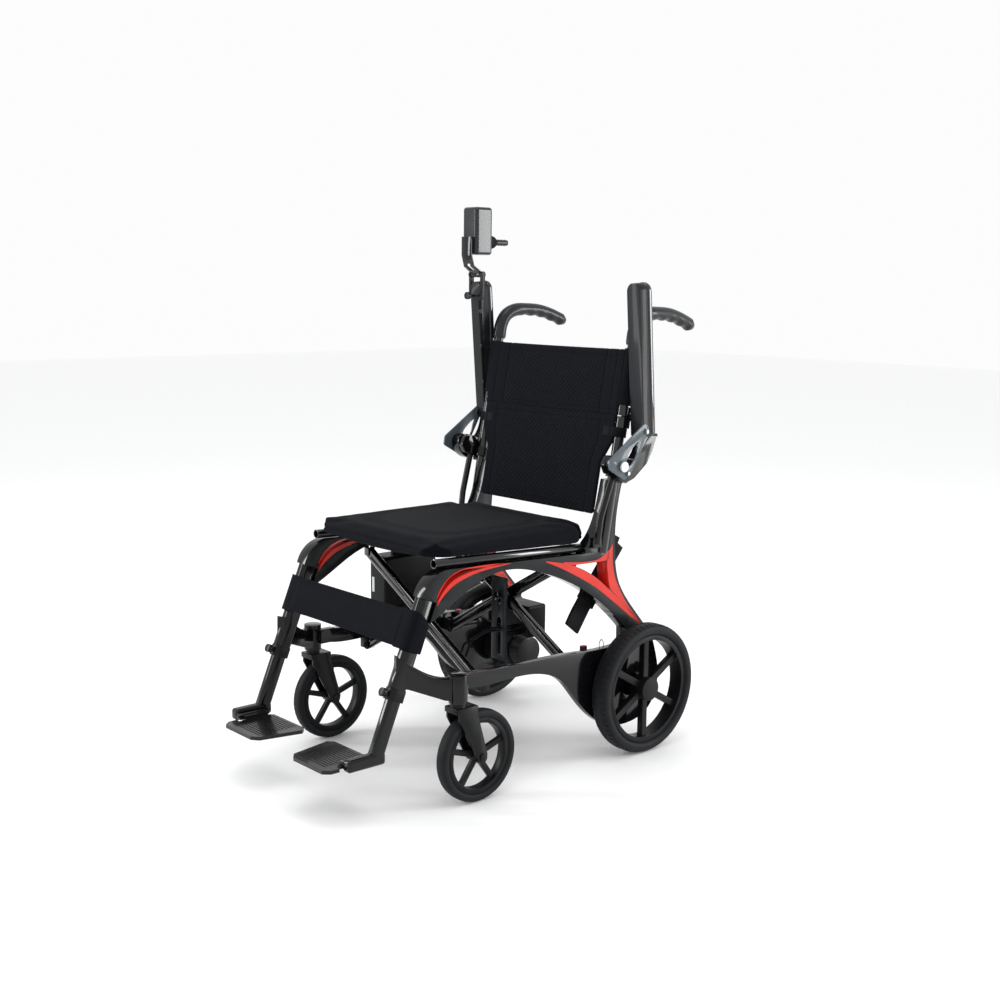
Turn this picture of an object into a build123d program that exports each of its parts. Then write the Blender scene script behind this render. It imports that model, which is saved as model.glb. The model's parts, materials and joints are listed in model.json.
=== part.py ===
"""Folding powered wheelchair. Millimetres, +Z up, the front faces -Y, +X is the sitter's left.
The origin lies on the floor, midway between the footplates' front edge and the push handles' tips.
The left half is modelled and the right half is its mirror image, apart from the pieces that
only one side has. Bodies on different joints keep a running clearance.
"""
from math import atan2, cos, degrees, hypot, radians, sin
import os

from build123d import *

os.makedirs("parts", exist_ok=True)

# ---- overall sizes -------------------------------------------------------------------------
frame_x = 214.0          # mid-plane of each side frame casting
frame_thick = 32.0       # thickness of that casting
rail_thick = 18.0        # thickness of the lower rail casting, outboard of the side frame
running = 0.05           # radial clearance of a shaft in its bore
loose = 0.3              # clearance between neighbours on different bodies
foot_front_y = -521.0    # front edge of the footplates
handle_tip_y = 521.0     # rear tip of the push handles

# ---- drive wheels and motors ---------------------------------------------------------------
drive_x = 279.0
drive_y = 313.0
drive_d = 304.0
drive_tyre_wide = 48.0
drive_tyre_deep = 26.0
drive_spokes = 6
drive_hub_r = 27.0
shaft_r = 8.5
motor_inner_x = 112.0
motor_r = 38.0
gearbox_r = 48.0
gearbox_long = 82.0
clutch_y = 240.0         # pivot of the freewheel lever
clutch_z = 222.0

# ---- front casters -------------------------------------------------------------------------
caster_x = 266.0
caster_y = -188.0
caster_d = 200.0
caster_tyre_wide = 28.0
caster_tyre_deep = 18.0
caster_spokes = 5
stem_y = -238.0
stem_r = 8.0
head_r = 20.0
head_low_z = 224.0
head_high_z = 284.0
fork_blade_thick = 5.0
caster_axle_r = 5.0

# ---- front legs and footrests --------------------------------------------------------------
leg_x = 213.0
leg_y = -353.0           # leg centreline at the telescope clamp
leg_z = 274.0
leg_lean = 22.3          # lean of the leg from upright, degrees
leg_wide = 30.0
leg_deep = 38.0
inner_wide = 24.0
inner_deep = 32.0
leg_up = 178.0           # length of the outer leg above the clamp
inner_down = 150.0       # length of the sliding leg below the clamp
inner_up = 96.0          # length of the sliding leg inside the outer one
plate_hinge_x = 194.0
plate_hinge_z = 127.0
plate_thick = 8.0
plate_rear_y = -402.0

# ---- folding brace and seat rails ----------------------------------------------------------
pivot_x = 213.0
pivot_z = 228.0          # lower pivots of the brace
centre_z = 350.0         # crossing bolt of the brace
brace_front_y = -123.0
brace_rear_y = 133.0
arm_thick = 14.0
arm_tall = 28.0
arm_gap = 2.0
pivot_r = 5.0
seat_rail_r = 10.0
rail_front = (-262.0, 509.0)   # seat rail centre at its front end (y, z)
rail_back = (160.0, 491.5)     # seat rail centre at its rear end (y, z)
cushion_half = 224.0
cushion_front_y = -270.0
cushion_rear_y = 196.0
cushion_top_z = 543.0

# ---- backrest ------------------------------------------------------------------------------
post_x = 227.0
post_y = 231.0           # post centreline at post_z
post_z = 549.0
post_lean = 10.3
post_r = 12.5
handle_r = 11.5          # bent tube of the push handle
post_low = -74.0         # lower end of the post, along itself from post_z
back_split = 238.0       # half-fold hinge, along the post
back_top = 391.0         # top of the fabric, along the post
sling_thick = 5.0
hinge_set_back = 16.0    # half-fold hinge axis behind the post centreline

belt_wide = 48.0
belt_thick = 2.6
belt_bolt = (240.0, 504.0)   # bolt that holds the seat belt on the horn (y, z)

# ---- armrests ------------------------------------------------------------------------------
arm_pivot_y = 215.0
arm_pivot_z = 679.0
arm_x = 267.0
arm_wide = 42.0
bar_low = (303.0, 748.0)
bar_high = (276.0, 1083.0)
bar_deep = 40.0
bar_split = 3.0          # parting plane between the shell and the pad, from the bar's middle

cable_r = 3.4            # joystick lead along the right armrest
cable_off = 15.5         # lead's distance from the bar's middle
cable_low = 22.0
cable_high = 288.0

# ---- battery, controller and joystick ------------------------------------------------------
battery_x = (-226.0, -160.0)
battery_y = (-103.0, 50.0)
battery_z = (279.0, 441.0)
stick_y = 262.0
stick_z = 1098.0
housing_x = (-294.0, -240.0)
housing_y = (236.0, 290.0)
housing_z = (1146.0, 1262.0)

parts = {}


def slab(sketch, low_x, high_x):
    """A (y, z) outline stretched along X."""
    return extrude(Plane.YZ.offset(low_x) * sketch, amount=high_x - low_x)


def rod(radius, start, end):
    """A round bar between two points."""
    way = Vector(*end) - Vector(*start)
    return extrude(Plane(origin=start, z_dir=way) * Circle(radius), amount=way.length)


def block(x_range, y_range, z_range):
    """A box from its limits."""
    size = [high - low for low, high in (x_range, y_range, z_range)]
    middle = [(high + low) / 2 for low, high in (x_range, y_range, z_range)]
    return Pos(*middle) * Box(*size)


def soft_block(x_range, y_range, z_range, radius):
    """A box with all its edges rounded."""
    body = block(x_range, y_range, z_range)
    return fillet(body.edges(), radius)


def pipe(points, radii, radius):
    """A round bar along straight runs joined by tangent arcs."""
    path = FilletPolyline(*points, radius=radii)
    return sweep(Plane(origin=path @ 0, z_dir=path % 0) * Circle(radius), path=path)


def both(name, left_solid):
    """Keep a piece for the left side and its mirror image for the right."""
    parts["left_" + name] = left_solid
    parts["right_" + name] = mirror(left_solid, about=Plane.YZ)


frame_in = frame_x - frame_thick / 2
frame_out = frame_x + frame_thick / 2
rail_in = frame_out + 0.5
rail_out = rail_in + rail_thick
leg_place = Location((leg_x, leg_y, leg_z), (-leg_lean, 0, 0))
back_place = Location((0, post_y, post_z), (-post_lean, 0, 0))


# ---- side frame: one casting, an arch with a horn for the back post ------------------------
def leg_point(along, across):
    """(y, z) of a point given along and across the leg from its clamp."""
    lean = radians(leg_lean)
    return (leg_y + along * sin(lean) + across * cos(lean),
            leg_z + along * cos(lean) - across * sin(lean))


def side_frame():
    foot_front = leg_point(leg_up, -leg_deep / 2)
    foot_rear = leg_point(leg_up, leg_deep / 2)
    heel = leg_point(leg_up - 44, leg_deep / 2)
    arch_low = Spline(heel, (-222, 424), (-150, 461), (-60, 474), (27, 455),
                      (147, 404), (210, 364), (303, 284))
    lug = Polyline((303, 284), (304, 207), (352, 207), (366, 285))
    rear = Spline((366, 285), (306, 352), (272, 405), (259, 474), (259, 540), (279, 640))
    horn = Spline((239, 640), (224, 580), (202, 528), (162, 489))
    top_edge = Spline((162, 480), (38, 485), (-93, 491), (-236, 497))
    outline = arch_low + lug + rear + Line((279, 640), (239, 640)) + horn
    outline += Line((162, 489), (162, 480)) + top_edge
    outline += ThreePointArc((-236, 497), (-272, 487), foot_front) + Line(foot_front, foot_rear)
    outline += Line(foot_rear, heel)
    casting = slab(make_face(outline), frame_in, frame_out)
    crescent = ThreePointArc((-264, 432), (-224, 471), (-155, 486))
    crescent += ThreePointArc((-155, 490), (-220, 486), (-268, 434))
    crescent += Line((-155, 486), (-155, 490)) + Line((-268, 434), (-264, 432))
    crescent = slab(make_face(crescent), frame_in - 1, frame_out + 1)
    window = ThreePointArc((134, 454), (190, 426), (240, 386)) + Line((240, 386), (246, 388))
    window += ThreePointArc((246, 388), (236, 420), (231, 455)) + Line((231, 455), (134, 458))
    window += Line((134, 458), (134, 454))
    window = slab(make_face(window), frame_in - 1, frame_out + 1)
    socket = back_place * Pos(post_x, 0, post_low) * Cylinder(
        post_r, 400, align=(Align.CENTER, Align.CENTER, Align.MIN))
    return casting - crescent - window - socket


# ---- front leg: outer tube, web and caster head in one casting -----------------------------
def oval(wide, deep, corner):
    return RectangleRounded(wide, deep, corner)


def front_leg():
    tube = leg_place * Pos(0, 0, -12) * extrude(oval(leg_wide, leg_deep, 12), amount=leg_up + 12)
    head_x = caster_x
    run_x, run_y = head_x - leg_x, stem_y - leg_y
    reach = hypot(run_x, run_y)
    turn = degrees(atan2(-run_x, run_y))
    web_plane = Plane(origin=(leg_x, leg_y, 0), x_dir=(run_x, run_y, 0), z_dir=(run_y, -run_x, 0))
    web = Spline((-6, 332), (28, 308), (70, 284), (reach, 281)) + Polyline(
        (reach, 281), (reach, 228), (reach - 30, 233), (20, 262), (-8, 268), (-6, 332))
    web = extrude(web_plane * make_face(web), amount=11, both=True)
    head = Pos(head_x, stem_y, head_low_z) * Cylinder(
        head_r, head_high_z - head_low_z, align=(Align.CENTER, Align.CENTER, Align.MIN))
    leg = tube + web + head
    hollow = leg_place * Pos(0, 0, -20) * extrude(
        oval(inner_wide + 2 * loose, inner_deep + 2 * loose, 9.3), amount=inner_up + 95)
    stem_bore = Pos(head_x, stem_y, head_low_z - 1) * Cylinder(
        stem_r + running, head_high_z - head_low_z - 5, align=(Align.CENTER, Align.CENTER, Align.MIN))
    return leg - hollow - stem_bore


# ---- lower rail: from the caster head back to the motor plate ------------------------------
def lower_rail():
    low = Spline((-213, 243), (-100, 239), (20, 231), (72, 208), (120, 158), (188, 92), (232, 70))
    lobe = Spline((232, 70), (300, 62), (370, 88), (398, 152), (384, 230), (366, 282))
    top = Spline((366, 282), (250, 257), (100, 262), (-100, 268), (-213, 276))
    outline = make_face(low + lobe + top + Line((-213, 276), (-213, 243)))
    rail = slab(outline, rail_in, rail_out)
    boss = Pos(rail_out, drive_y, drive_d / 2) * Rot(0, 90, 0) * Cylinder(24, 60)
    ledge = block((rail_in, rail_out), (stem_y, -200), (243, 276))
    head = Pos(caster_x, stem_y, 250) * Cylinder(head_r, 100)
    lever_bore = rod(4 + running, (rail_in - 1, clutch_y, clutch_z), (rail_in + 9, clutch_y, clutch_z))
    return rail - boss + ledge - head - lever_bore


# ---- pivot brackets, bolts and clamps that stay on a side frame ----------------------------
def brace_y(front, arm):
    """Middle of a brace arm along Y: arm A lies ahead of arm B at each crossing."""
    side = -1 if arm == "a" else 1
    return (brace_front_y if front else brace_rear_y) + side * (arm_thick + arm_gap) / 2


def pivot_bracket(y_mid):
    """Two ears and a pin that carry the foot of one brace arm."""
    ear_gap = arm_thick / 2 + loose
    ears = Part()
    for side in (-1, 1):
        low = y_mid + side * ear_gap + (0 if side > 0 else -4)
        ear = block((pivot_x - 9, rail_in), (low, low + 4), (pivot_z - 10, pivot_z + 20))
        ears += ear
    ears += block((rail_in - 3, rail_in), (y_mid - ear_gap - 4, y_mid + ear_gap + 4),
                  (pivot_z - 10, pivot_z + 30))
    pin = rod(pivot_r, (pivot_x, y_mid - ear_gap - 8, pivot_z), (pivot_x, y_mid + ear_gap + 8, pivot_z))
    return ears + pin


def clamp_knob():
    """Telescope clamp: a collar round the leg's lower end, with a knob ahead of it."""
    collar = leg_place * Pos(0, 0, -36) * extrude(oval(leg_wide + 3, leg_deep + 3, 13), amount=24)
    collar -= leg_place * Pos(0, 0, -37) * extrude(
        oval(inner_wide + 2 * loose, inner_deep + 2 * loose, 9.3), amount=30)
    stud = leg_place * Pos(0, -leg_deep / 2 - 1, -24) * Rot(90, 0, 0) * Cylinder(
        4, 9, align=(Align.CENTER, Align.CENTER, Align.MIN))
    knob = leg_place * Pos(0, -leg_deep / 2 - 8, -24) * Rot(90, 0, 0) * Cylinder(
        9, 9, align=(Align.CENTER, Align.CENTER, Align.MIN))
    return collar + stud + knob


def rail_bolts():
    """Round-head bolts that hold the lower rail to the side frame's lug."""
    bolts = Part()
    for y, z in ((326, 262), (344, 262)):
        bolts += rod(6, (rail_out, y, z), (rail_out + 3, y, z))
    return bolts


def seat_rail_z(y):
    share = (y - rail_front[0]) / (rail_back[0] - rail_front[0])
    return rail_front[1] + share * (rail_back[1] - rail_front[1])


def rail_point(y, x=pivot_x):
    return (x, y, seat_rail_z(y))


def frame_hardware(arm):
    pieces = [pivot_bracket(brace_y(front, arm)) for front in (True, False)]
    pieces += [clamp_knob(), rail_bolts()]
    return pieces


# ---- folding brace: two crossed pairs of arms and a seat rail on each pair -----------------
arm_slope = (centre_z - pivot_z) / pivot_x
arm_tilt = degrees(atan2(centre_z - pivot_z, pivot_x))
arm_top_x = -186.0       # where arm A's bar ends under the far seat rail


def arm_a(front):
    """One bar from the left lower pivot up to the right seat rail."""
    y_mid = brace_y(front, "a")
    top_z = pivot_z + (pivot_x - arm_top_x) * arm_slope
    length = hypot(pivot_x - arm_top_x, top_z - pivot_z)
    bar = Pos(pivot_x, y_mid, pivot_z) * Rot(0, arm_tilt, 0) * extrude(
        Plane.YZ * RectangleRounded(arm_thick, arm_tall, 5), amount=-length)
    bar += Pos(pivot_x, y_mid, pivot_z) * Rot(90, 0, 0) * Cylinder(arm_tall / 2, arm_thick)
    for side in (-1, 1):
        groove = Pos(pivot_x, y_mid + side * arm_thick / 2, pivot_z) * Rot(0, arm_tilt, 0) * Box(
            length - 40, 3, 4, align=(Align.MAX, Align.CENTER, Align.CENTER))
        bar -= Pos(-20 * cos(radians(arm_tilt)), 0, 20 * sin(radians(arm_tilt))) * groove
    bore = Pos(pivot_x, y_mid, pivot_z) * Rot(90, 0, 0) * Cylinder(pivot_r + running, 40)
    return bar - bore


def centre_bolt(front):
    """Crossing bolt, fixed in arm A and turning in arm B."""
    low = brace_y(front, "a") - arm_thick / 2 - (6 if front else 14)
    high = brace_y(front, "b") + arm_thick / 2 + 1
    bolt = rod(pivot_r + 1, (0, low, centre_z), (0, high, centre_z))
    head = rod(10, (0, low - 4, centre_z), (0, low, centre_z))
    nut = rod(10, (0, high, centre_z), (0, high + 6, centre_z))
    return bolt + head + nut


def brace_a():
    arms = []
    for front in (True, False):
        hole = Pos(0, brace_y(front, "a"), centre_z) * Rot(90, 0, 0) * Cylinder(pivot_r + 1, 30)
        arms.append(arm_a(front) - hole + centre_bolt(front))
    return arms


def brace_b():
    arms = []
    for front in (True, False):
        shift = brace_y(front, "b") - brace_y(front, "a")
        arm = mirror(Pos(0, shift, 0) * arm_a(front), about=Plane.YZ)
        hole = Pos(0, brace_y(front, "b"), centre_z) * Rot(90, 0, 0) * Cylinder(pivot_r + 1 + running, 30)
        arms.append(arm - hole)
    return arms


def seat_rail(arm):
    """Left-hand seat rail tube with the two saddles that hold it on its brace arms."""
    tube = rod(seat_rail_r, rail_point(rail_front[0]), rail_point(rail_back[0]))
    rail = tube
    for front in (True, False):
        y_mid = brace_y(front, arm)
        top = seat_rail_z(y_mid)
        for side in (-1, 1):
            low = y_mid + side * arm_thick / 2 + (0 if side > 0 else -2.4)
            rail += block((178, 194), (low, low + 2.4), (448, top + 7))
            rail += block((193, pivot_x), (low, low + 2.4), (top - 4, top + 7))
    bore = rod(seat_rail_r - 2, rail_point(rail_front[0] - 9), rail_point(rail_back[0] + 9))
    return rail - bore


# ---- hanger, controller and wiring, carried on the rear crossing bolt ----------------------
hanger_y = brace_rear_y - arm_thick - arm_gap / 2 - 9
hanger_low_z = 192.0


def hanger_plate():
    """Slotted upright plate with a foot, held on the crossing bolt."""
    plate = block((-26, 26), (hanger_y, hanger_y + 4), (hanger_low_z, 396))
    plate += block((-26, 26), (hanger_y - 38, hanger_y + 4), (hanger_low_z - 4, hanger_low_z))
    for low, high, slot_r in ((330, centre_z, pivot_r + 1 + running), (214, 290, 8)):
        slot = extrude(SlotCenterToCenter(high - low, 2 * slot_r), amount=10, both=True)
        plate -= Pos(0, hanger_y, (low + high) / 2) * Rot(90, 0, 0) * Rot(0, 0, 90) * slot
    return plate


def controller_box():
    case = soft_block((-46, 46), (hanger_y + 52, hanger_y + 112), (244, 322), 6)
    lug = block((-24, -14), (hanger_y + 4, hanger_y + 56), (252, 262)) + block(
        (14, 24), (hanger_y + 4, hanger_y + 56), (252, 262))
    return case + lug


def wiring_loom():
    """Two leads from the controller, tied to the hanger plate and looped forward."""
    leads = []
    for x, z, reach in ((-3.6, 262, 60), (3.6, 270, 44)):
        start_y = hanger_y + 52
        leads.append(pipe([(x, start_y, z), (x, start_y - 40, z), (x, hanger_y - 30, z + 6),
                           (x - 4, hanger_y - reach - 40, z - 14), (x - 2, hanger_y - reach - 60, z - 52)],
                          14, 3))
    return leads


# ---- wheels --------------------------------------------------------------------------------
def ring(radius_out, radius_in, x_low, x_high, y, z):
    return Pos(x_low, y, z) * Rot(0, 90, 0) * (
        Cylinder(radius_out, x_high - x_low, align=(Align.CENTER, Align.CENTER, Align.MIN))
        - Cylinder(radius_in, x_high - x_low, align=(Align.CENTER, Align.CENTER, Align.MIN)))


def tyre(radius, deep, wide, x, y, z):
    """Round-shouldered tyre."""
    profile = Pos(radius - deep / 2, 0) * RectangleRounded(deep, wide, deep * 0.42)
    return Pos(x, y, z) * Rot(0, 90, 0) * revolve(Plane.XZ * profile, Axis.Z)


def spoked_rim(radius, wide, hub_r, hub_wide, spokes, spoke_wide, bore, x, y, z):
    """Moulded rim: a shallow outer ring, a hub and straight spokes."""
    rim = ring(radius, radius - 11, x - wide / 2, x + wide / 2, y, z)
    rim += ring(hub_r, bore, x - hub_wide / 2, x + hub_wide / 2, y, z)
    for index in range(spokes):
        spoke = Pos(x, y, z) * Rot(360 / spokes * index, 0, 0) * Pos(0, 0, (radius - 8 + hub_r) / 2 - 1) * Box(
            wide * 0.42, spoke_wide, radius - 8 - hub_r + 4)
        rim += spoke
    return rim


def drive_rim():
    rim = spoked_rim(drive_d / 2 - drive_tyre_deep, 36, drive_hub_r, 40, drive_spokes, 15,
                     shaft_r + running, drive_x, drive_y, drive_d / 2)
    cap = Pos(drive_x + 20, drive_y, drive_d / 2) * Rot(0, 90, 0) * Cylinder(
        drive_hub_r, 4, align=(Align.CENTER, Align.CENTER, Align.MIN))
    return rim + cap


def motor():
    """Geared motor on the inboard face of the lower rail's plate, with its output shaft."""
    gear_in = rail_in - gearbox_long
    z = drive_d / 2
    body = rod(gearbox_r, (gear_in, drive_y, z), (rail_in - 0.3, drive_y, z))
    body += rod(motor_r, (motor_inner_x, drive_y, z), (gear_in, drive_y, z))
    body += rod(20, (rail_in - 0.3, drive_y, z), (rail_out + 1, drive_y, z))
    body += rod(shaft_r, (rail_out + 1, drive_y, z), (drive_x + 18, drive_y, z))
    for turn in range(6):
        y = drive_y + (gearbox_r - 7) * cos(radians(60 * turn))
        body += rod(3.5, (gear_in - 3, y, z + (gearbox_r - 7) * sin(radians(60 * turn))),
                    (gear_in, y, z + (gearbox_r - 7) * sin(radians(60 * turn))))
    return body


def clutch_lever():
    """Freewheel lever beside the rail, with a red finger tip."""
    pin = rod(4, (rail_in + 7, clutch_y, clutch_z), (rail_in - 13, clutch_y, clutch_z))
    eye = rod(9, (rail_in - 5, clutch_y, clutch_z), (rail_in - 11, clutch_y, clutch_z))
    eye -= rod(4, (rail_in, clutch_y, clutch_z), (rail_in - 20, clutch_y, clutch_z))
    stem = block((rail_in - 11, rail_in - 5), (clutch_y - 68, clutch_y), (clutch_z - 4, clutch_z + 4))
    stem += block((rail_in - 14, rail_in - 4), (clutch_y - 76, clutch_y - 62), (clutch_z - 6, clutch_z + 42))
    return stem + eye + pin


def caster_fork():
    z_axle = caster_d / 2
    crown_low = caster_d + 3.5
    stem = rod(stem_r, (caster_x, stem_y, crown_low + 8), (caster_x, stem_y, head_high_z - 8))
    inner = caster_tyre_wide / 2 + 3
    outer = inner + fork_blade_thick
    crown = block((caster_x - outer, caster_x + outer), (stem_y - 18, stem_y + 36),
                  (crown_low, crown_low + 12))
    collar = rod(16, (caster_x, stem_y, crown_low + 12), (caster_x, stem_y, head_low_z - 0.4))
    fork = crown + collar + stem
    blade = Polyline((stem_y - 14, crown_low + 12), (stem_y + 36, crown_low + 12), (stem_y + 36, crown_low - 8),
                     (caster_y + 13, z_axle + 4), (caster_y + 8, z_axle - 12), (caster_y - 8, z_axle - 12),
                     (caster_y - 14, z_axle - 2), (stem_y - 14, crown_low - 12), (stem_y - 14, crown_low + 12))
    for low in (caster_x - outer, caster_x + inner):
        fork += slab(make_face(blade), low, low + fork_blade_thick)
    fork += rod(caster_axle_r, (caster_x - outer, caster_y, z_axle), (caster_x + outer, caster_y, z_axle))
    fork += rod(9, (caster_x + outer, caster_y, z_axle), (caster_x + outer + 4, caster_y, z_axle))
    fork += rod(9, (caster_x - outer - 4, caster_y, z_axle), (caster_x - outer, caster_y, z_axle))
    return fork


def caster_rim():
    return spoked_rim(caster_d / 2 - caster_tyre_deep, 22, 15, caster_tyre_wide + 4, caster_spokes, 12,
                      caster_axle_r + running, caster_x, caster_y, caster_d / 2)


# ---- footrests -----------------------------------------------------------------------------
def foot_tube():
    """Sliding leg with its forward foot bar and the two ears of the plate's hinge."""
    leg = leg_place * Pos(0, 0, -inner_down) * extrude(
        oval(inner_wide, inner_deep, 9), amount=inner_down + inner_up)
    bar = soft_block((leg_x - 12, leg_x + 12), (-484, -392), (115, 141), 7)
    tube = leg + bar
    for y in (-482, -414):
        tube += block((plate_hinge_x - 6, leg_x - 10), (y, y + 6), (plate_hinge_z - 6, plate_hinge_z + 6))
    tube += rod(3.5, (plate_hinge_x, -486, plate_hinge_z), (plate_hinge_x, -404, plate_hinge_z))
    return tube


def footplate():
    """Ribbed plate that hinges up about its outer edge."""
    outline = Polyline((197, -487), (197, foot_front_y + 14), (184, foot_front_y), (82, foot_front_y),
                       (66, foot_front_y + 12), (46, plate_rear_y - 12), (58, plate_rear_y),
                       (176, plate_rear_y), (184, plate_rear_y - 8), (184, -487), (197, -487))
    top = 121.0
    plate = Pos(0, 0, top - plate_thick) * extrude(make_face(outline), amount=plate_thick)
    for index in range(13):
        y = foot_front_y + 16 + index * 7.6
        plate -= block((74, 172), (y, y + 3.4), (top - 1.6, top + 1))
    knuckle = rod(6, (plate_hinge_x, -474, plate_hinge_z), (plate_hinge_x, -416, plate_hinge_z))
    knuckle += block((180, plate_hinge_x), (-474, -416), (top - 6, plate_hinge_z + 3))
    knuckle -= rod(3.5 + running, (plate_hinge_x, -500, plate_hinge_z),
                   (plate_hinge_x, -380, plate_hinge_z))
    return plate + knuckle


def calf_strap():
    """Soft strap across both legs, closed round each of them."""
    low, high, rear_high = 68, 150, 128
    deep = leg_deep / 2 + 1
    band = block((-(leg_x + 17), leg_x + 17), (-deep - 5, -deep), (low, high))
    for side in (-1, 1):
        band += block((side * (leg_x + 17) - 1.0, side * (leg_x + 17) + 1.0), (-deep - 5, deep + 5), (low, high))
        band -= block((side * (leg_x + 17) - 3, side * (leg_x + 17) + 3), (0, 60), (rear_high, high + 1))
        band += block((side * (leg_x + 1) - 17, side * (leg_x + 1) + 17), (deep, deep + 5), (low, rear_high))
    return Location((0, leg_y, leg_z), (-leg_lean, 0, 0)) * band


# ---- backrest ------------------------------------------------------------------------------
def post_lower():
    """Post from the horn up to the half-fold hinge, with the hinge's ears and pin."""
    tube = Pos(post_x, 0, post_low) * Cylinder(
        post_r, back_split - 1 - post_low, align=(Align.CENTER, Align.CENTER, Align.MIN))
    tube -= Pos(post_x, hinge_set_back, back_split) * Rot(0, 90, 0) * Cylinder(9.6, 19)
    for side in (-1, 1):
        low = post_x + side * 9.5 + (0 if side > 0 else -3)
        ear = block((low, low + 3), (0, hinge_set_back), (back_split - 26, back_split - 3))
        ear += Pos(low + 1.5, hinge_set_back, back_split) * Rot(0, 90, 0) * Cylinder(8, 3)
        tube += ear - block((low - 1, low + 4), (-20, post_r + 0.5), (back_split - 1, back_split + 20))
    tube += Pos(post_x, hinge_set_back, back_split) * Rot(0, 90, 0) * Cylinder(3.5, 29)
    return back_place * tube


def handle_route():
    """Corners of the handle's bent tube, from the hinge to the tip."""
    start = (back_place * Pos(post_x, 0, back_split + 1)).position
    bend = (back_place * Pos(post_x, 0, 468)).position
    return [tuple(start), tuple(bend), (post_x - 6, 424, 1012), (post_x - 11, handle_tip_y - 8, 984)]


def post_upper():
    """Post above the hinge, bent back into the push handle."""
    x = post_x
    knuckle = Pos(x, hinge_set_back, back_split) * Rot(0, 90, 0) * Cylinder(8, 18.4)
    knuckle += block((x - 9, x + 9), (4, hinge_set_back), (back_split + 1, back_split + 22))
    knuckle = back_place * knuckle
    tube = pipe(handle_route(), [46, 120], handle_r)
    sleeve = Pos(x, 0, back_split + 1) * Cylinder(post_r, 22, align=(Align.CENTER, Align.CENTER, Align.MIN))
    post = tube + back_place * sleeve + knuckle
    return post - back_place * (Pos(x, hinge_set_back, back_split) * Rot(0, 90, 0) * Cylinder(3.55, 60))


def push_grip():
    """Moulded grip over the handle's last stretch."""
    start, bend, top, tip = handle_route()
    share = 74 / (top[1] - bend[1])
    front = tuple(low + share * (high - low) for low, high in zip(bend, top))
    grip = pipe([front, top, (tip[0], tip[1] + 3, tip[2] - 1)], [118], 16)
    return grip - post_upper()


def sling(low, high, reach, sleeve_low, sleeve_high, tube_r):
    """Backrest cloth with a sleeve or a strap round each post."""
    front = -post_r - 3.4
    cloth = block((-reach, reach), (front, front + sling_thick), (low, high))
    for side in (-1, 1):
        tab_ends = sorted((side * (reach - 2), side * post_x))
        cloth += block(tab_ends, (front, front + sling_thick), (sleeve_low, sleeve_high))
        sleeve = Pos(side * post_x, 0, sleeve_low) * Cylinder(
            post_r + 3.4, sleeve_high - sleeve_low, align=(Align.CENTER, Align.CENTER, Align.MIN))
        cloth += sleeve
        cloth -= Pos(side * post_x, 0, low - 30) * Cylinder(
            tube_r + loose, high - low + 60, align=(Align.CENTER, Align.CENTER, Align.MIN))
    return back_place * cloth


# ---- armrests ------------------------------------------------------------------------------
bar_lean = degrees(atan2(bar_low[0] - bar_high[0], bar_high[1] - bar_low[1]))
bar_long = hypot(bar_low[0] - bar_high[0], bar_high[1] - bar_low[1])
bar_place = Location((arm_x, bar_low[0], bar_low[1]), (bar_lean, 0, 0))


def armrest_bracket():
    """Clamp on the back post with a pivot pin, and a bent strut down to the frame."""
    plate = Polyline((248, 642), (262, 668), (232, 700), (206, 700), (194, 680), (204, 660), (248, 642))
    strut_x = frame_out + 9
    body = slab(fillet(make_face(plate).vertices(), 7), 239, 253)
    clamp = back_place * Pos(post_x, 0, 111) * Cylinder(post_r + 5, 24)
    clamp += back_place * block((post_x + 6, 252), (-6, 10), (88, 118))
    pin = rod(9, (252, arm_pivot_y, arm_pivot_z), (281.5, arm_pivot_y, arm_pivot_z))
    strut = pipe([(strut_x, 190, 500), (strut_x + 1, 198, 560), (246, 226, 650), (246, 236, 668)],
                 [70, 60], 7.5)
    foot = block((frame_out + loose, strut_x + 1), (176, 204), (492, 516))
    bracket = body + clamp + pin + strut + foot
    bracket -= back_place * Pos(post_x, 0, 60) * Cylinder(
        post_r, 200, align=(Align.CENTER, Align.CENTER, Align.CENTER))
    return bracket - rod(6.3, (262, arm_pivot_y, arm_pivot_z), (300, arm_pivot_y, arm_pivot_z))


def armrest_arm():
    """Curved lower arm, triangular cover plate and the shell under the pad."""
    curve = Spline((197, 672), (222, 644), (270, 640), (318, 672), (333, 752)) + Line((333, 752), (286, 754))
    curve += Spline((286, 754), (281, 715), (258, 690), (232, 700), (205, 700), (197, 672))
    banana = slab(make_face(curve), 256, 280)
    cover = Polyline((302, 762), (284, 770), (176, 698), (172, 676), (222, 648), (246, 664), (302, 762))
    cover = slab(fillet(make_face(cover).vertices(), 8), 283.2, 287.2)
    cover += rod(13, (280, 290, 752), (283.2, 290, 752)) + rod(7, (287.2, 290, 752), (290, 290, 752))
    cover += rod(6, (287.2, 232, 662), (290, 232, 662)) + rod(10, (280, 232, 666), (283.2, 232, 666))
    shell = bar_place * block((-arm_wide / 2 + 1, arm_wide / 2 - 1), (-bar_deep / 2, bar_split),
                              (-6, bar_long - 1))
    shell = shell & (bar_place * bar_tip(arm_wide / 2 - 1))
    arm = banana - bar_place * block((-40, 40), (bar_split, 60), (-6, bar_long)) + cover + shell
    return arm - rod(9 + running, (250, arm_pivot_y, arm_pivot_z), (281.8, arm_pivot_y, arm_pivot_z)) - rod(
        6.3, (281, arm_pivot_y, arm_pivot_z), (288, arm_pivot_y, arm_pivot_z))


def bar_tip(radius):
    """Outline of the armrest bar seen from the front: straight sides and a round tip."""
    outline = Pos(0, bar_long - radius) * Circle(radius) + Pos(0, (bar_long - radius) / 2 - 10) * Rectangle(
        2 * radius, bar_long - radius + 20)
    return extrude(Plane.XZ * outline, amount=bar_deep * 2, both=True)


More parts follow.
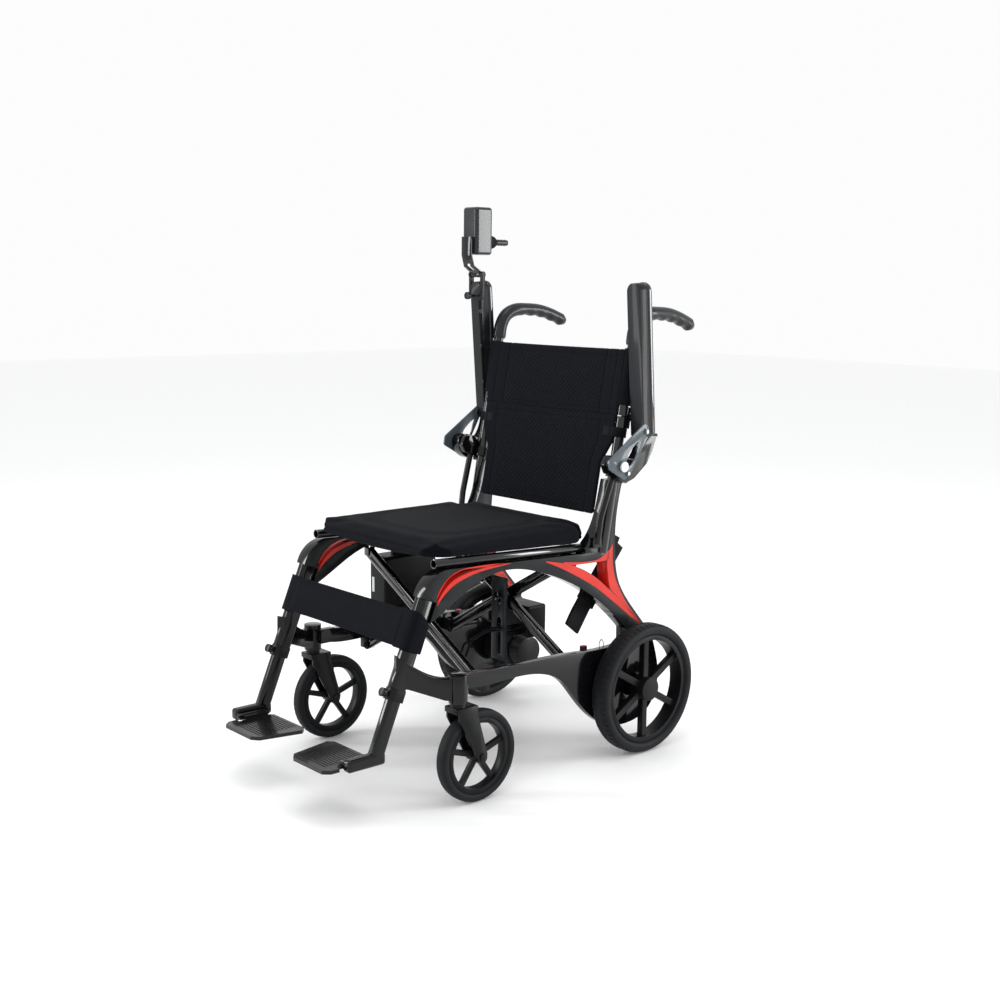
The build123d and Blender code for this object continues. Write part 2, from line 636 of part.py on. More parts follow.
def arm_pad():
    pad = block((-arm_wide / 2, arm_wide / 2), (bar_split, bar_deep / 2), (-6, bar_long))
    return bar_place * (pad & bar_tip(arm_wide / 2))


def armrest_button():
    """Sprung lock button in the middle of the pivot."""
    stem = rod(6, (266, arm_pivot_y, arm_pivot_z), (291, arm_pivot_y, arm_pivot_z))
    return stem + rod(11.5, (291, arm_pivot_y, arm_pivot_z), (296, arm_pivot_y, arm_pivot_z))


def cable_line(low, high):
    """Straight stretch of the joystick lead along the front of the armrest bar."""
    start, end = [(bar_place * Pos(-cable_off, -bar_deep / 2 - cable_r, along)).position for along in (low, high)]
    return tuple(start), tuple(end)


def joystick_cable():
    return mirror(rod(cable_r, *cable_line(cable_low, cable_high)), about=Plane.YZ)


def cable_clips():
    """Gland at the lead's lower end and the clips that hold it on the bar."""
    clips = Part()
    for low, long in ((cable_low - 12, 12), (cable_low + 60, 9), (cable_low + 150, 9), (cable_low + 236, 9)):
        clips += bar_place * block((-cable_off - 5.5, -cable_off + 5.5),
                                   (-bar_deep / 2 - 2 * cable_r - 2, -bar_deep / 2), (low, low + long))
    clips -= rod(cable_r + running, *cable_line(cable_low, cable_high))
    return mirror(clips, about=Plane.YZ)


# ---- battery -------------------------------------------------------------------------------
def battery():
    case = soft_block(battery_x, battery_y, battery_z, 9)
    return case + soft_block((-200, -186), (-60, 10), (battery_z[1] - 3, battery_z[1] + 9), 2.9)


def battery_tray():
    """Shelf on the lower rail that the battery slides onto."""
    low, high = battery_x
    tray = block((-rail_in, high + 4), (battery_y[0] - 2, battery_y[1] + 2),
                 (battery_z[0] - 4.3, battery_z[0] - 0.3))
    tray += block((-rail_in, -rail_in + 3), (battery_y[0] - 2, battery_y[1] + 2), (250, battery_z[0] - 4))
    tray += block((high + 0.5, high + 4), (battery_y[0] - 2, battery_y[1] + 2),
                  (battery_z[0] - 4, battery_z[0] + 40))
    return tray


# ---- joystick ------------------------------------------------------------------------------
def joystick_bracket():
    """Clamp rod and bent plate that carry the joystick from the armrest's tip."""
    plate = Polyline((stick_y + 3, stick_z), (stick_y + 3, stick_z + 6), (238, 1120), (230, 1146), (230, 1190),
                     (226, 1190), (226, 1145), (234, 1117), (stick_y - 4, stick_z + 2), (stick_y - 4, stick_z),
                     (stick_y + 3, stick_z))
    body = slab(make_face(plate), -arm_x - 18, -arm_x + 18)
    body -= block((-arm_x - 7, -arm_x + 7), (220, 300), (1108, 1124))
    body += rod(7, (-arm_x - 18, stick_y, stick_z), (-arm_x + 18, stick_y, stick_z))
    body += block((-arm_x - 14, -arm_x + 14), (228, housing_y[0]), (1150, 1184))
    return body - rod(3.5 + running, (-arm_x - 30, stick_y, stick_z), (-arm_x + 30, stick_y, stick_z))


def joystick_hook():
    """Eye on the armrest's tip that the bracket hinges on, with its clamp knob."""
    x = -arm_x
    eye = rod(8, (x - 24, stick_y, stick_z), (x - 18.4, stick_y, stick_z))
    eye += rod(8, (x + 18.4, stick_y, stick_z), (x + 24, stick_y, stick_z))
    for low in (x - 24, x + 18.4):
        eye += block((low, low + 5.6), (stick_y - 6, stick_y + 6), (1046, stick_z))
    eye += block((x - 24, x + 24), (stick_y - 6, stick_y + 6), (1040, 1052))
    eye += rod(3.5, (x - 24, stick_y, stick_z), (x + 24, stick_y, stick_z))
    eye += rod(3, (x, stick_y - 26, 1046), (x, stick_y - 6, 1046))
    eye += rod(9, (x, stick_y - 34, 1046), (x, stick_y - 26, 1046))
    return eye


boot_x, boot_z = -arm_x, 1178.0
buttons = ((-280.0, 1238.0), (-254.0, 1238.0))


def joystick_housing():
    case = soft_block(housing_x, housing_y, housing_z, 8)
    case -= block((housing_x[0] - 1, housing_x[1] + 1), (housing_y[1] - 14, housing_y[1] + 1),
                  (housing_z[1] - 46, housing_z[1] - 40)) & block((-288, -246), (200, 400), (0, 2000))
    case -= rod(17, (boot_x, housing_y[1] - 16, boot_z), (boot_x, housing_y[1] + 1, boot_z))
    for x, z in buttons:
        case -= rod(6.3, (x, housing_y[1] - 6, z), (x, housing_y[1] + 1, z))
    return case


def joystick_gimbal():
    """Cross ring that lets the stick lean both ways."""
    middle = housing_y[1] - 8
    cross = Pos(boot_x, middle, boot_z) * Rot(90, 0, 0) * (Cylinder(16.3, 5) - Cylinder(5.45, 5))
    return cross


def joystick_stick():
    tip = housing_y[1] + 46
    boot = Pos(boot_x, housing_y[1] + 5, boot_z) * Rot(-90, 0, 0) * Cone(
        12, 7, 13, align=(Align.CENTER, Align.CENTER, Align.MIN))
    stick = rod(4.5, (boot_x, housing_y[1] - 10, boot_z), (boot_x, tip - 16, boot_z))
    knob = rod(8, (boot_x, tip - 20, boot_z), (boot_x, tip, boot_z))
    return boot + stick + fillet(knob.edges(), 3)


def face_button(place):
    x, z = place
    return rod(6, (x, housing_y[1] - 5, z), (x, housing_y[1] + 2.5, z))


# ---- soft goods ----------------------------------------------------------------------------
def seat_cushion():
    """Thin padded seat lying on both rails, with a tongue between the horns."""
    def wedge(front, rear, half):
        lift = seat_rail_r + loose
        outline = Polyline((front, seat_rail_z(front) + lift), (rear, seat_rail_z(rear) + lift),
                           (rear, cushion_top_z), (front, cushion_top_z), (front, seat_rail_z(front) + lift))
        return slab(make_face(outline), -half, half)
    return wedge(cushion_front_y, 158, cushion_half) + wedge(150, cushion_rear_y, frame_in - 4)


def webbing(points, wide, low_x):
    """Flat strap in an upright plane, along straight runs from point to point (y, z)."""
    strap = Part()
    for (y0, z0), (y1, z1) in zip(points, points[1:]):
        long = hypot(y1 - y0, z1 - z0)
        across = (-(z1 - z0) / long * wide / 2, (y1 - y0) / long * wide / 2)
        strap += slab(make_face(Polyline(
            (y0 - across[0], z0 - across[1]), (y1 - across[0], z1 - across[1]),
            (y1 + across[0], z1 + across[1]), (y0 + across[0], z0 + across[1]),
            (y0 - across[0], z0 - across[1]))), low_x, low_x + belt_thick)
    return strap


def seat_belt():
    """Webbing bolted inside the left horn, folded back and hanging forward, with its buckle."""
    low_x = frame_in - 8
    belt = webbing([belt_bolt, (300, 474)], belt_wide, low_x)
    belt += webbing([(312, 470), (238, 396), (212, 352)], belt_wide, low_x)
    belt += webbing([(212, 352), (163, 300)], belt_wide, low_x)
    belt += block((low_x - 4, low_x + belt_thick), (196, 232), (346, 372))
    return belt + rod(8, (low_x - 4, *belt_bolt), (frame_in, *belt_bolt))


# ---- put together --------------------------------------------------------------------------
left_frame = side_frame()
left_leg = front_leg()
left_rail = lower_rail()
both("side_frame", left_frame)
both("front_leg", left_leg - left_frame)
both("lower_rail", left_rail - left_leg)
parts["left_frame_hardware"] = Compound(children=frame_hardware("a"))
parts["right_frame_hardware"] = Compound(
    children=[mirror(piece, about=Plane.YZ) for piece in frame_hardware("b")] + [battery_tray()])
parts["brace_arms_a"] = Compound(children=brace_a())
parts["brace_arms_b"] = Compound(children=brace_b())
parts["left_seat_rail"] = seat_rail("b")
parts["right_seat_rail"] = mirror(seat_rail("a"), about=Plane.YZ)
parts["hanger_plate"] = hanger_plate()
parts["controller_box"] = controller_box()
parts["wiring_loom"] = Compound(children=wiring_loom())
both("drive_rim", drive_rim())
both("drive_tyre", tyre(drive_d / 2, drive_tyre_deep, drive_tyre_wide, drive_x, drive_y, drive_d / 2))
both("motor", motor())
both("clutch_lever", clutch_lever())
both("caster_fork", caster_fork())
both("caster_rim", caster_rim())
both("caster_tyre", tyre(caster_d / 2, caster_tyre_deep, caster_tyre_wide, caster_x, caster_y, caster_d / 2))
both("foot_tube", foot_tube())
both("footplate", footplate())
parts["calf_strap"] = calf_strap()
both("post_lower", post_lower())
both("post_upper", post_upper())
both("push_grip", push_grip())
parts["sling_lower"] = sling(8, back_split - 2, frame_in - 2, 192, 210, post_r)
parts["sling_upper"] = sling(back_split + 2, back_top, post_x - 16, back_split + 25, back_top, handle_r)
both("armrest_bracket", armrest_bracket())
both("armrest_arm", armrest_arm())
both("arm_pad", arm_pad())
both("armrest_button", armrest_button())
parts["battery"] = battery()
parts["right_armrest_arm"] = parts["right_armrest_arm"] + joystick_hook() + cable_clips()
parts["joystick_cable"] = joystick_cable()
parts["joystick_bracket"] = joystick_bracket()
parts["joystick_housing"] = joystick_housing()
parts["joystick_gimbal"] = joystick_gimbal()
parts["joystick_stick"] = joystick_stick()
parts["power_button"] = face_button(buttons[0])
parts["speed_button"] = face_button(buttons[1])
parts["seat_cushion"] = seat_cushion()
parts["seat_belt"] = seat_belt()

for name, solid in parts.items():
    export_step(solid, f"parts/{name}.step")
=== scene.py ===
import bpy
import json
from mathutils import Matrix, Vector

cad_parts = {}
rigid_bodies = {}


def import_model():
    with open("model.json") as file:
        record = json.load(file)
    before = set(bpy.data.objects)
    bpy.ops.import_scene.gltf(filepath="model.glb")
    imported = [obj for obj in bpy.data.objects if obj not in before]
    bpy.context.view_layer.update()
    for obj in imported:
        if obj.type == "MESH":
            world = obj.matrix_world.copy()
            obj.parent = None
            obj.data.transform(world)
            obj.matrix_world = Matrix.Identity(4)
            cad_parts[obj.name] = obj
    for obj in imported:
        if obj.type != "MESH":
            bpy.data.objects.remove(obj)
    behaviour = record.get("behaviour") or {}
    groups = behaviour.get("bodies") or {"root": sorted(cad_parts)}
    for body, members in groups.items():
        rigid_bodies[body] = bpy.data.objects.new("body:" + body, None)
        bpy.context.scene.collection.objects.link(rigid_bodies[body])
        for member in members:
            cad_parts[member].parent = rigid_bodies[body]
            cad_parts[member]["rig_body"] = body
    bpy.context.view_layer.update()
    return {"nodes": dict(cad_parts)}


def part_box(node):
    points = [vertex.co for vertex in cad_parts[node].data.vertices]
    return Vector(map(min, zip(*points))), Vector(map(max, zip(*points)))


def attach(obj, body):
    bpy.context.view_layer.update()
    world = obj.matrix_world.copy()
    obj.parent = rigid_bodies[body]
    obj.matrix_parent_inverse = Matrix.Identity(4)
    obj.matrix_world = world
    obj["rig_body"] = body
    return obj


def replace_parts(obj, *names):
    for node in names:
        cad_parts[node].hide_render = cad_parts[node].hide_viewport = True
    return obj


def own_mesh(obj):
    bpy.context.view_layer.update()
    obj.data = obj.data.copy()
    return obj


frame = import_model()

import json
from math import atan2, copysign, cos, exp, hypot, pi, radians, sin

import bmesh
import bpy
from mathutils import Matrix, Vector

nodes = frame["nodes"]
SIDES = {"left": 1, "right": -1}


# ---- Studio ---------------------------------------------------------------------------------
# A white floor and air with three soft boxes, so that the black coat gets long pale highlights.
# The camera stands in front of the chair's left side, a little above the seat.
def view_matrix(place, turn, pitch, roll):
    right = Vector((cos(turn), sin(turn), 0))
    back = Vector((sin(turn) * cos(pitch), -cos(turn) * cos(pitch), sin(pitch)))
    up = back.cross(right)
    rolled_right = cos(roll) * right + sin(roll) * up
    rolled_up = cos(roll) * up - sin(roll) * right
    axes = Matrix((rolled_right, rolled_up, back)).transposed()
    return Matrix.Translation(place) @ axes.to_4x4()


camera_data = bpy.data.cameras.new("studio_camera")
camera_data.sensor_width = 36.0
camera_data.lens = 48.49
camera_data.clip_end = 60.0
camera = bpy.data.objects.new("studio_camera", camera_data)
bpy.context.scene.collection.objects.link(camera)
camera_place = Vector((2.313, -1.960, 1.079))
camera.matrix_world = view_matrix(camera_place, radians(48.19), radians(9.17), radians(0.67))
bpy.context.scene.camera = camera

world = bpy.data.worlds.new("studio_air")
bpy.context.scene.world = world
world.use_nodes = True
world.node_tree.nodes["Background"].inputs["Color"].default_value = (1.0, 1.0, 1.0, 1.0)
world.node_tree.nodes["Background"].inputs["Strength"].default_value = 0.98
bpy.context.scene.view_settings.view_transform = "Standard"


def soft_box(name, place, aim, wide, high, power):
    """A rectangular studio light turned towards a point."""
    data = bpy.data.lights.new(name, "AREA")
    data.shape = "RECTANGLE"
    data.size, data.size_y, data.energy = wide, high, power
    lamp = bpy.data.objects.new(name, data)
    bpy.context.scene.collection.objects.link(lamp)
    lamp.location = place
    lamp.rotation_euler = (Vector(aim) - Vector(place)).to_track_quat("-Z", "Y").to_euler()


soft_box("top_light", (0.2, -0.2, 3.4), (0.0, 0.0, 0.4), 1.8, 1.8, 26)
soft_box("left_back_light", (2.9, 3.2, 1.25), (0.0, 0.0, 0.8), 0.9, 2.2, 95)
soft_box("front_light", (-2.4, -2.6, 1.5), (0.0, 0.0, 0.7), 0.5, 2.2, 55)

bpy.ops.object.select_all(action="DESELECT")
bpy.ops.mesh.primitive_plane_add(size=30.0, location=(0, 0, 0))
floor = bpy.context.object
floor.name = "studio_floor"
floor_paint = bpy.data.materials.new("studio_white")
floor_paint.use_nodes = True
floor_shader = floor_paint.node_tree.nodes["Principled BSDF"]
floor_shader.inputs["Base Color"].default_value = (0.955, 0.958, 0.965, 1)
floor_shader.inputs["Roughness"].default_value = 0.5
floor.data.materials.append(floor_paint)


# ---- Frame castings -------------------------------------------------------------------------
# The arched side frames, the front legs and the lower rails are magnesium castings in a hard
# black gloss coat. Their edges are broken by the mould, which is where the light catches them.
def use_only(piece):
    """Make one object active and the only one selected."""
    if bpy.context.object and bpy.context.object.mode != "OBJECT":
        bpy.ops.object.mode_set(mode="OBJECT")
    bpy.ops.object.select_all(action="DESELECT")
    piece.select_set(True)
    bpy.context.view_layer.objects.active = piece


def settle(piece):
    """Apply the modifiers and the placement, so that the piece's place is in its mesh."""
    use_only(piece)
    for modifier in list(piece.modifiers):
        bpy.ops.object.modifier_apply(modifier=modifier.name)
    bpy.ops.object.transform_apply(location=True, rotation=True, scale=True)


def face_outwards(piece):
    """Point every face of a closed piece outwards."""
    use_only(piece)
    bpy.ops.object.mode_set(mode="EDIT")
    bpy.ops.mesh.select_all(action="SELECT")
    bpy.ops.mesh.normals_make_consistent(inside=False)
    bpy.ops.object.mode_set(mode="OBJECT")


def coat(name, colour, rough, spread=0.04, gloss=0.0, metallic=0.0, grain=0.0, grain_scale=900.0,
         shade=0.0, shade_scale=30.0, shine=0.11):
    """A coat or moulding whose roughness and tone wander, with an optional fine grain."""
    made = bpy.data.materials.new(name)
    made.use_nodes = True
    tree = made.node_tree
    shader = tree.nodes["Principled BSDF"]
    shader.inputs["Metallic"].default_value = metallic
    shader.inputs["Coat Weight"].default_value = gloss
    shader.inputs["Coat Roughness"].default_value = 0.06
    shader.inputs["Coat IOR"].default_value = 1.45
    shader.inputs["Specular IOR Level"].default_value = shine
    place = tree.nodes.new("ShaderNodeTexCoord")
    cloud = tree.nodes.new("ShaderNodeTexNoise")
    cloud.inputs["Scale"].default_value = shade_scale
    cloud.inputs["Detail"].default_value = 4.0
    tree.links.new(place.outputs["Object"], cloud.inputs["Vector"])
    spread_map = tree.nodes.new("ShaderNodeMapRange")
    spread_map.inputs["To Min"].default_value = max(rough - spread, 0.02)
    spread_map.inputs["To Max"].default_value = rough + spread
    tree.links.new(cloud.outputs["Fac"], spread_map.inputs["Value"])
    tree.links.new(spread_map.outputs["Result"], shader.inputs["Roughness"])
    tone = tree.nodes.new("ShaderNodeValToRGB")
    tone.color_ramp.elements[0].position = 0.3
    tone.color_ramp.elements[1].position = 0.7
    tone.color_ramp.elements[0].color = (*[c * (1 - shade) for c in colour], 1)
    tone.color_ramp.elements[1].color = (*[c * (1 + shade) for c in colour], 1)
    tree.links.new(cloud.outputs["Fac"], tone.inputs["Fac"])
    tree.links.new(tone.outputs["Color"], shader.inputs["Base Color"])
    if grain:
        fine = tree.nodes.new("ShaderNodeTexNoise")
        fine.inputs["Scale"].default_value = grain_scale
        fine.inputs["Detail"].default_value = 2.0
        tree.links.new(place.outputs["Object"], fine.inputs["Vector"])
        bump = tree.nodes.new("ShaderNodeBump")
        bump.inputs["Strength"].default_value = grain
        bump.inputs["Distance"].default_value = 0.0004
        tree.links.new(fine.outputs["Fac"], bump.inputs["Height"])
        tree.links.new(bump.outputs["Normal"], shader.inputs["Normal"])
    return made


gloss_black = coat("gloss_black_coat", (0.0030, 0.0032, 0.0040), 0.15, 0.04, gloss=0.42, grain=0.02,
                   grain_scale=320.0, shade=0.25)
satin_black = coat("satin_black_coat", (0.0060, 0.0062, 0.0070), 0.32, 0.07, gloss=0.12, grain=0.12,
                   grain_scale=1500.0, shade=0.25)


def moulded(node, edge, finish, steps=2, sharp=32.0):
    """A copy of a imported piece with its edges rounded, which stands in its place."""
    source = nodes[node]
    piece = bpy.data.objects.new(node + "_finished", source.data.copy())
    bpy.context.scene.collection.objects.link(piece)
    use_only(piece)
    bpy.ops.mesh.customdata_custom_splitnormals_clear()
    bpy.ops.object.mode_set(mode="EDIT")
    bpy.ops.mesh.select_all(action="SELECT")
    bpy.ops.mesh.remove_doubles(threshold=0.00001)
    bpy.ops.mesh.dissolve_limited(angle_limit=radians(0.6))
    bpy.ops.object.mode_set(mode="OBJECT")
    if edge:
        bevel = piece.modifiers.new("edge", "BEVEL")
        bevel.width = edge
        bevel.segments = steps
        bevel.limit_method = "ANGLE"
        bevel.angle_limit = radians(sharp)
        bevel.miter_outer = "MITER_ARC"
        bevel.use_clamp_overlap = True
    settle(piece)
    bpy.ops.object.shade_smooth_by_angle(angle=radians(35))
    piece.data.materials.clear()
    piece.data.materials.append(finish)
    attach(piece, source["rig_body"])
    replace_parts(piece, node)
    return piece


graphite = coat("graphite_face", (0.0085, 0.0096, 0.0105), 0.36, 0.06, gloss=0.12, grain=0.08,
                grain_scale=1100.0, shade=0.15)
red_enamel = coat("red_enamel", (0.56, 0.024, 0.014), 0.30, 0.05, gloss=0.2, grain=0.03,
                  grain_scale=600.0, shade=0.12, shade_scale=18.0)
face_x = 0.230          # outer face of the side frame casting
back_face_x = 0.198     # its inner face


def on_slot_wall(place):
    """Whether a point is on the walls of the crescent slot, clear of the slot's front top corner."""
    above_arch = place.z > 0.5474 + 0.52 * place.y
    clear_of_corner = place.z < 0.481 or place.y > -0.235
    return -0.270 < place.y < -0.150 and 0.430 < place.z < 0.4925 and above_arch and clear_of_corner


def on_window_wall(place):
    """Whether a point is on the walls of the rear window."""
    above_arch = place.z > 0.5708 - 0.893 * place.y
    return 0.133 < place.y < 0.252 and 0.383 < place.z < 0.4595 and above_arch


for side in SIDES:
    frame_cast = moulded(side + "_side_frame", 0.0022, gloss_black, 3)
    frame_cast.data.materials.append(graphite)
    frame_cast.data.materials.append(red_enamel)
    for face in frame_cast.data.polygons:
        sideways = abs(face.normal.x)
        if sideways > 0.9:
            face.material_index = 1
        elif sideways < 0.3 and (on_slot_wall(face.center) or on_window_wall(face.center)):
            face.material_index = 2
    moulded(side + "_front_leg", 0.0012, gloss_black)
    moulded(side + "_lower_rail", 0.0022, gloss_black, 3)


# ---- Red inlays -----------------------------------------------------------------------------
# Thin red enamelled inlays line the crescent slot at the front of each arch and the triangular
# window at the back. They are pressed into both faces of the casting and stand barely proud.
def smooth_line(points, count):
    """Evenly shared points on a smooth line through the given ones."""
    points = [Vector(p) for p in points]
    ends = [2 * points[0] - points[1]] + points + [2 * points[-1] - points[-2]]
    spans = [(b - a).length for a, b in zip(points, points[1:])]
    made = []
    for index in range(count):
        along = sum(spans) * index / (count - 1)
        span = 0
        while span < len(spans) - 1 and along > spans[span]:
            along -= spans[span]
            span += 1
        t = min(along / spans[span], 1.0)
        a, b, c, d = ends[span:span + 4]
        made.append(0.5 * ((2 * b) + (c - a) * t + (2 * a - 5 * b + 4 * c - d) * t ** 2
                           + (3 * b - a - 3 * c + d) * t ** 3))
    return made


def laid_band(name, edge_a, edge_b, count, shape, thick, finish, edge=0.0):
    """A strip between two lines: a grid laid on them, then given its thickness."""
    use_only(camera)
    bpy.ops.mesh.primitive_grid_add(x_subdivisions=count - 1, y_subdivisions=1, size=1)
    band = bpy.context.object
    band.name = name
    lines = (smooth_line(edge_a, count), smooth_line(edge_b, count))
    for index, vertex in enumerate(band.data.vertices):
        row, column = divmod(index, count)
        vertex.co = shape(lines[row][column])
    walls = band.modifiers.new("thickness", "SOLIDIFY")
    walls.thickness = thick
    walls.offset = 0.0
    if edge:
        rounding = band.modifiers.new("edge", "BEVEL")
        rounding.width = edge
        rounding.segments = 3
    settle(band)
    face_outwards(band)
    bpy.ops.object.shade_smooth_by_angle(angle=radians(40))
    band.data.materials.append(finish)
    return band


inlay_thick = 0.0012
inlay_rows = 28
red_bands = {
    "crescent_low": (
        [(-0.262, 0.437), (-0.246, 0.456), (-0.222, 0.4725), (-0.19, 0.482), (-0.16, 0.486),
         (-0.11, 0.4905), (-0.07, 0.4885)],
        [(-0.267, 0.424), (-0.248, 0.444), (-0.219, 0.463), (-0.178, 0.476), (-0.15, 0.481),
         (-0.11, 0.4845), (-0.062, 0.4875)]),
    "crescent_top": (
        [(-0.267, 0.443), (-0.255, 0.462), (-0.238, 0.478), (-0.218, 0.488), (-0.19, 0.4935),
         (-0.13, 0.4935), (-0.085, 0.4905)],
        [(-0.265, 0.443), (-0.25, 0.464), (-0.236, 0.478), (-0.216, 0.4865), (-0.19, 0.4915),
         (-0.13, 0.4895), (-0.085, 0.4885)]),
    "window_low": (
        [(0.04, 0.4785), (0.1, 0.4655), (0.134, 0.4535), (0.19, 0.4255), (0.242, 0.3865),
         (0.3, 0.3385), (0.351, 0.2905)],
        [(0.04, 0.4765), (0.085, 0.4575), (0.147, 0.4265), (0.201, 0.3955), (0.257, 0.3555),
         (0.316, 0.3115), (0.351, 0.2875)]),
    "window_top": (
        [(0.095, 0.4695), (0.13, 0.4645), (0.165, 0.4615), (0.205, 0.4625), (0.24, 0.4795)],
        [(0.095, 0.4665), (0.13, 0.4585), (0.165, 0.4585), (0.205, 0.4565), (0.236, 0.456)]),
    "window_back": (
        [(0.25, 0.4925), (0.2515, 0.45), (0.26, 0.4145), (0.2745, 0.3865), (0.3035, 0.3435),
         (0.351, 0.29)],
        [(0.2405, 0.479), (0.2325, 0.454), (0.237, 0.42), (0.247, 0.3875), (0.286, 0.3505),
         (0.35, 0.2895)]),
}
for side, sign in SIDES.items():
    for part_name, (edge_a, edge_b) in red_bands.items():
        for face_name, x in (("outer", face_x), ("inner", back_face_x)):
            band = laid_band(f"{side}_{part_name}_{face_name}", [(0, *p) for p in edge_a],
                             [(0, *p) for p in edge_b], inlay_rows,
                             lambda p: Vector((sign * x, p.y, p.z)), inlay_thick, red_enamel)
            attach(band, side + "_frame")


# ---- Front legs, clamps and footrests -------------------------------------------------------
# Oval alloy tube slides in the cast leg and is held by a collar with a thumb screw. The hinged
# footplates are glass-filled mouldings with a ribbed top.
plate_black = coat("footplate_moulding", (0.0070, 0.0072, 0.0082), 0.24, 0.06, gloss=0.4, grain=0.2,
                   grain_scale=1300.0, shade=0.15)
for side in SIDES:
    moulded(side + "_foot_tube", 0.0012, gloss_black)
    moulded(side + "_footplate", 0.0, plate_black)
    moulded(side + "_frame_hardware", 0.0010, satin_black)


# ---- Casters --------------------------------------------------------------------------------
# Solid tyres on five-spoked nylon rims, in black steel forks that swivel under the front legs.
nylon_black = coat("nylon_black", (0.0062, 0.0064, 0.0072), 0.32, 0.06, grain=0.2,
                   grain_scale=1500.0, shade=0.15)
rubber = coat("tyre_rubber", (0.0105, 0.0112, 0.0125), 0.52, 0.08, grain=0.5, grain_scale=1100.0,
              shade=0.2)


def spun_tyre(name, x, y, z, radius, deep, wide, segments, groove, finish):
    """A tyre turned from its section, with a tread cut in its shoulders."""
    section = 28
    use_only(camera)
    bpy.ops.mesh.primitive_circle_add(vertices=section, radius=1.0, location=(0, 0, 0))
    tyre = bpy.context.object
    tyre.name = name
    for index, vertex in enumerate(tyre.data.vertices):
        turn = 2 * pi * index / section
        squared = 1.0 / max(abs(cos(turn)) ** 3.0 + abs(sin(turn)) ** 3.0, 0.5) ** (1 / 3.0)
        reach = squared * cos(turn) * deep / 2
        vertex.co = (squared * sin(turn) * wide / 2, 0, radius - deep / 2 + reach)
    use_only(tyre)
    bpy.ops.object.mode_set(mode="EDIT")
    bpy.ops.mesh.select_all(action="SELECT")
    bpy.ops.mesh.spin(steps=segments, angle=2 * pi, center=(0, 0, 0), axis=(1, 0, 0))
    bpy.ops.mesh.select_all(action="SELECT")
    bpy.ops.mesh.remove_doubles(threshold=0.00002)
    bpy.ops.mesh.normals_make_consistent(inside=False)
    bpy.ops.mesh.select_all(action="DESELECT")
    bpy.ops.object.mode_set(mode="OBJECT")
    step = 2 * pi / segments
    for face in tyre.data.polygons:
        across = face.center.x / (wide / 2)
        out = hypot(face.center.y, face.center.z)
        index = int((atan2(face.center.y, face.center.z) + pi) / step + (0.5 if across > 0 else 1.5))
        shoulder = 0.30 < abs(across) < 0.86 and out > radius - deep * 0.42
        rib = abs(across) < 0.12 and out > radius - deep * 0.3
        face.select = (shoulder and index % 2 == 0) or (rib and groove > 0)
    bpy.ops.object.mode_set(mode="EDIT")
    bpy.ops.mesh.select_mode(type="FACE")
    bpy.ops.mesh.inset(thickness=groove * 0.35, use_individual=False)
    bpy.ops.transform.shrink_fatten(value=-groove)
    bpy.ops.object.mode_set(mode="OBJECT")
    tyre.location = (x, y, z)
    settle(tyre)
    bpy.ops.object.shade_smooth_by_angle(angle=radians(28))
    tyre.data.materials.append(finish)
    return tyre


for side in SIDES:
    low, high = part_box(side + "_caster_tyre")
    tyre = spun_tyre(side + "_caster_tread", *((low + high) / 2), radius=0.1, deep=0.019, wide=0.029,
                     segments=96, groove=0.0004, finish=rubber)
    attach(tyre, side + "_caster_wheel")
    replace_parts(tyre, side + "_caster_tyre")
    moulded(side + "_caster_rim", 0.0012, nylon_black)
    moulded(side + "_caster_fork", 0.0016, satin_black)


# ---- Drive wheels and motors ----------------------------------------------------------------
# Grooved solid tyres on six-spoked nylon rims with a plain hub cap. Each is driven by a geared
# motor bolted inside the lower rail, with a red-tipped lever that frees the wheel.
lever_red = coat("lever_red_plastic", (0.55, 0.012, 0.02), 0.35, 0.05, grain=0.1, shade=0.1)
motor_coat = coat("motor_coat", (0.0060, 0.0060, 0.0068), 0.38, 0.08, gloss=0.1, grain=0.08,
                  grain_scale=1400.0, shade=0.2)
lever_tip_z = 0.242     # the clutch lever is red above this height
for side in SIDES:
    low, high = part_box(side + "_drive_tyre")
    tyre = spun_tyre(side + "_drive_tread", *((low + high) / 2), radius=0.152, deep=0.027, wide=0.0478,
                     segments=132, groove=0.0011, finish=rubber)
    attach(tyre, side + "_drive_wheel")
    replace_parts(tyre, side + "_drive_tyre")
    moulded(side + "_drive_rim", 0.0018, nylon_black, 3)
    moulded(side + "_motor", 0.0016, motor_coat)
    lever = moulded(side + "_clutch_lever", 0.0012, satin_black)
    lever.data.materials.append(lever_red)
    for face in lever.data.polygons:
        if face.center.z > lever_tip_z:
            face.material_index = 1


# ---- Folding brace and seat rails -----------------------------------------------------------
# Two crossed pairs of grooved alloy bars turn on a bright bolt and carry the seat rails.
tube_black = coat("tube_black", (0.0040, 0.0042, 0.0050), 0.14, 0.04, gloss=1.0, grain=0.02, shade=0.2)
for node in ("brace_arms_a", "brace_arms_b"):
    moulded(node, 0.0012, tube_black)
for side in SIDES:
    moulded(side + "_seat_rail", 0.0006, tube_black)


# ---- Hanger, controller and wiring ----------------------------------------------------------
# A slotted steel plate hangs on the rear crossing bolt and holds the motor controller.
hanger_zinc = coat("hanger_zinc_black", (0.030, 0.033, 0.037), 0.33, 0.08, metallic=0.5, grain=0.1)
moulded("hanger_plate", 0.0006, hanger_zinc)
box_black = coat("box_black", (0.0045, 0.0047, 0.0054), 0.36, 0.06, grain=0.4, grain_scale=1700.0,
                 shade=0.12)
cable_black = coat("cable_sleeve", (0.0050, 0.0050, 0.0056), 0.45, 0.08, grain=0.3, grain_scale=2200.0)
moulded("controller_box", 0.0, box_black)
moulded("wiring_loom", 0.0, cable_black)
moulded("joystick_cable", 0.0, cable_black)


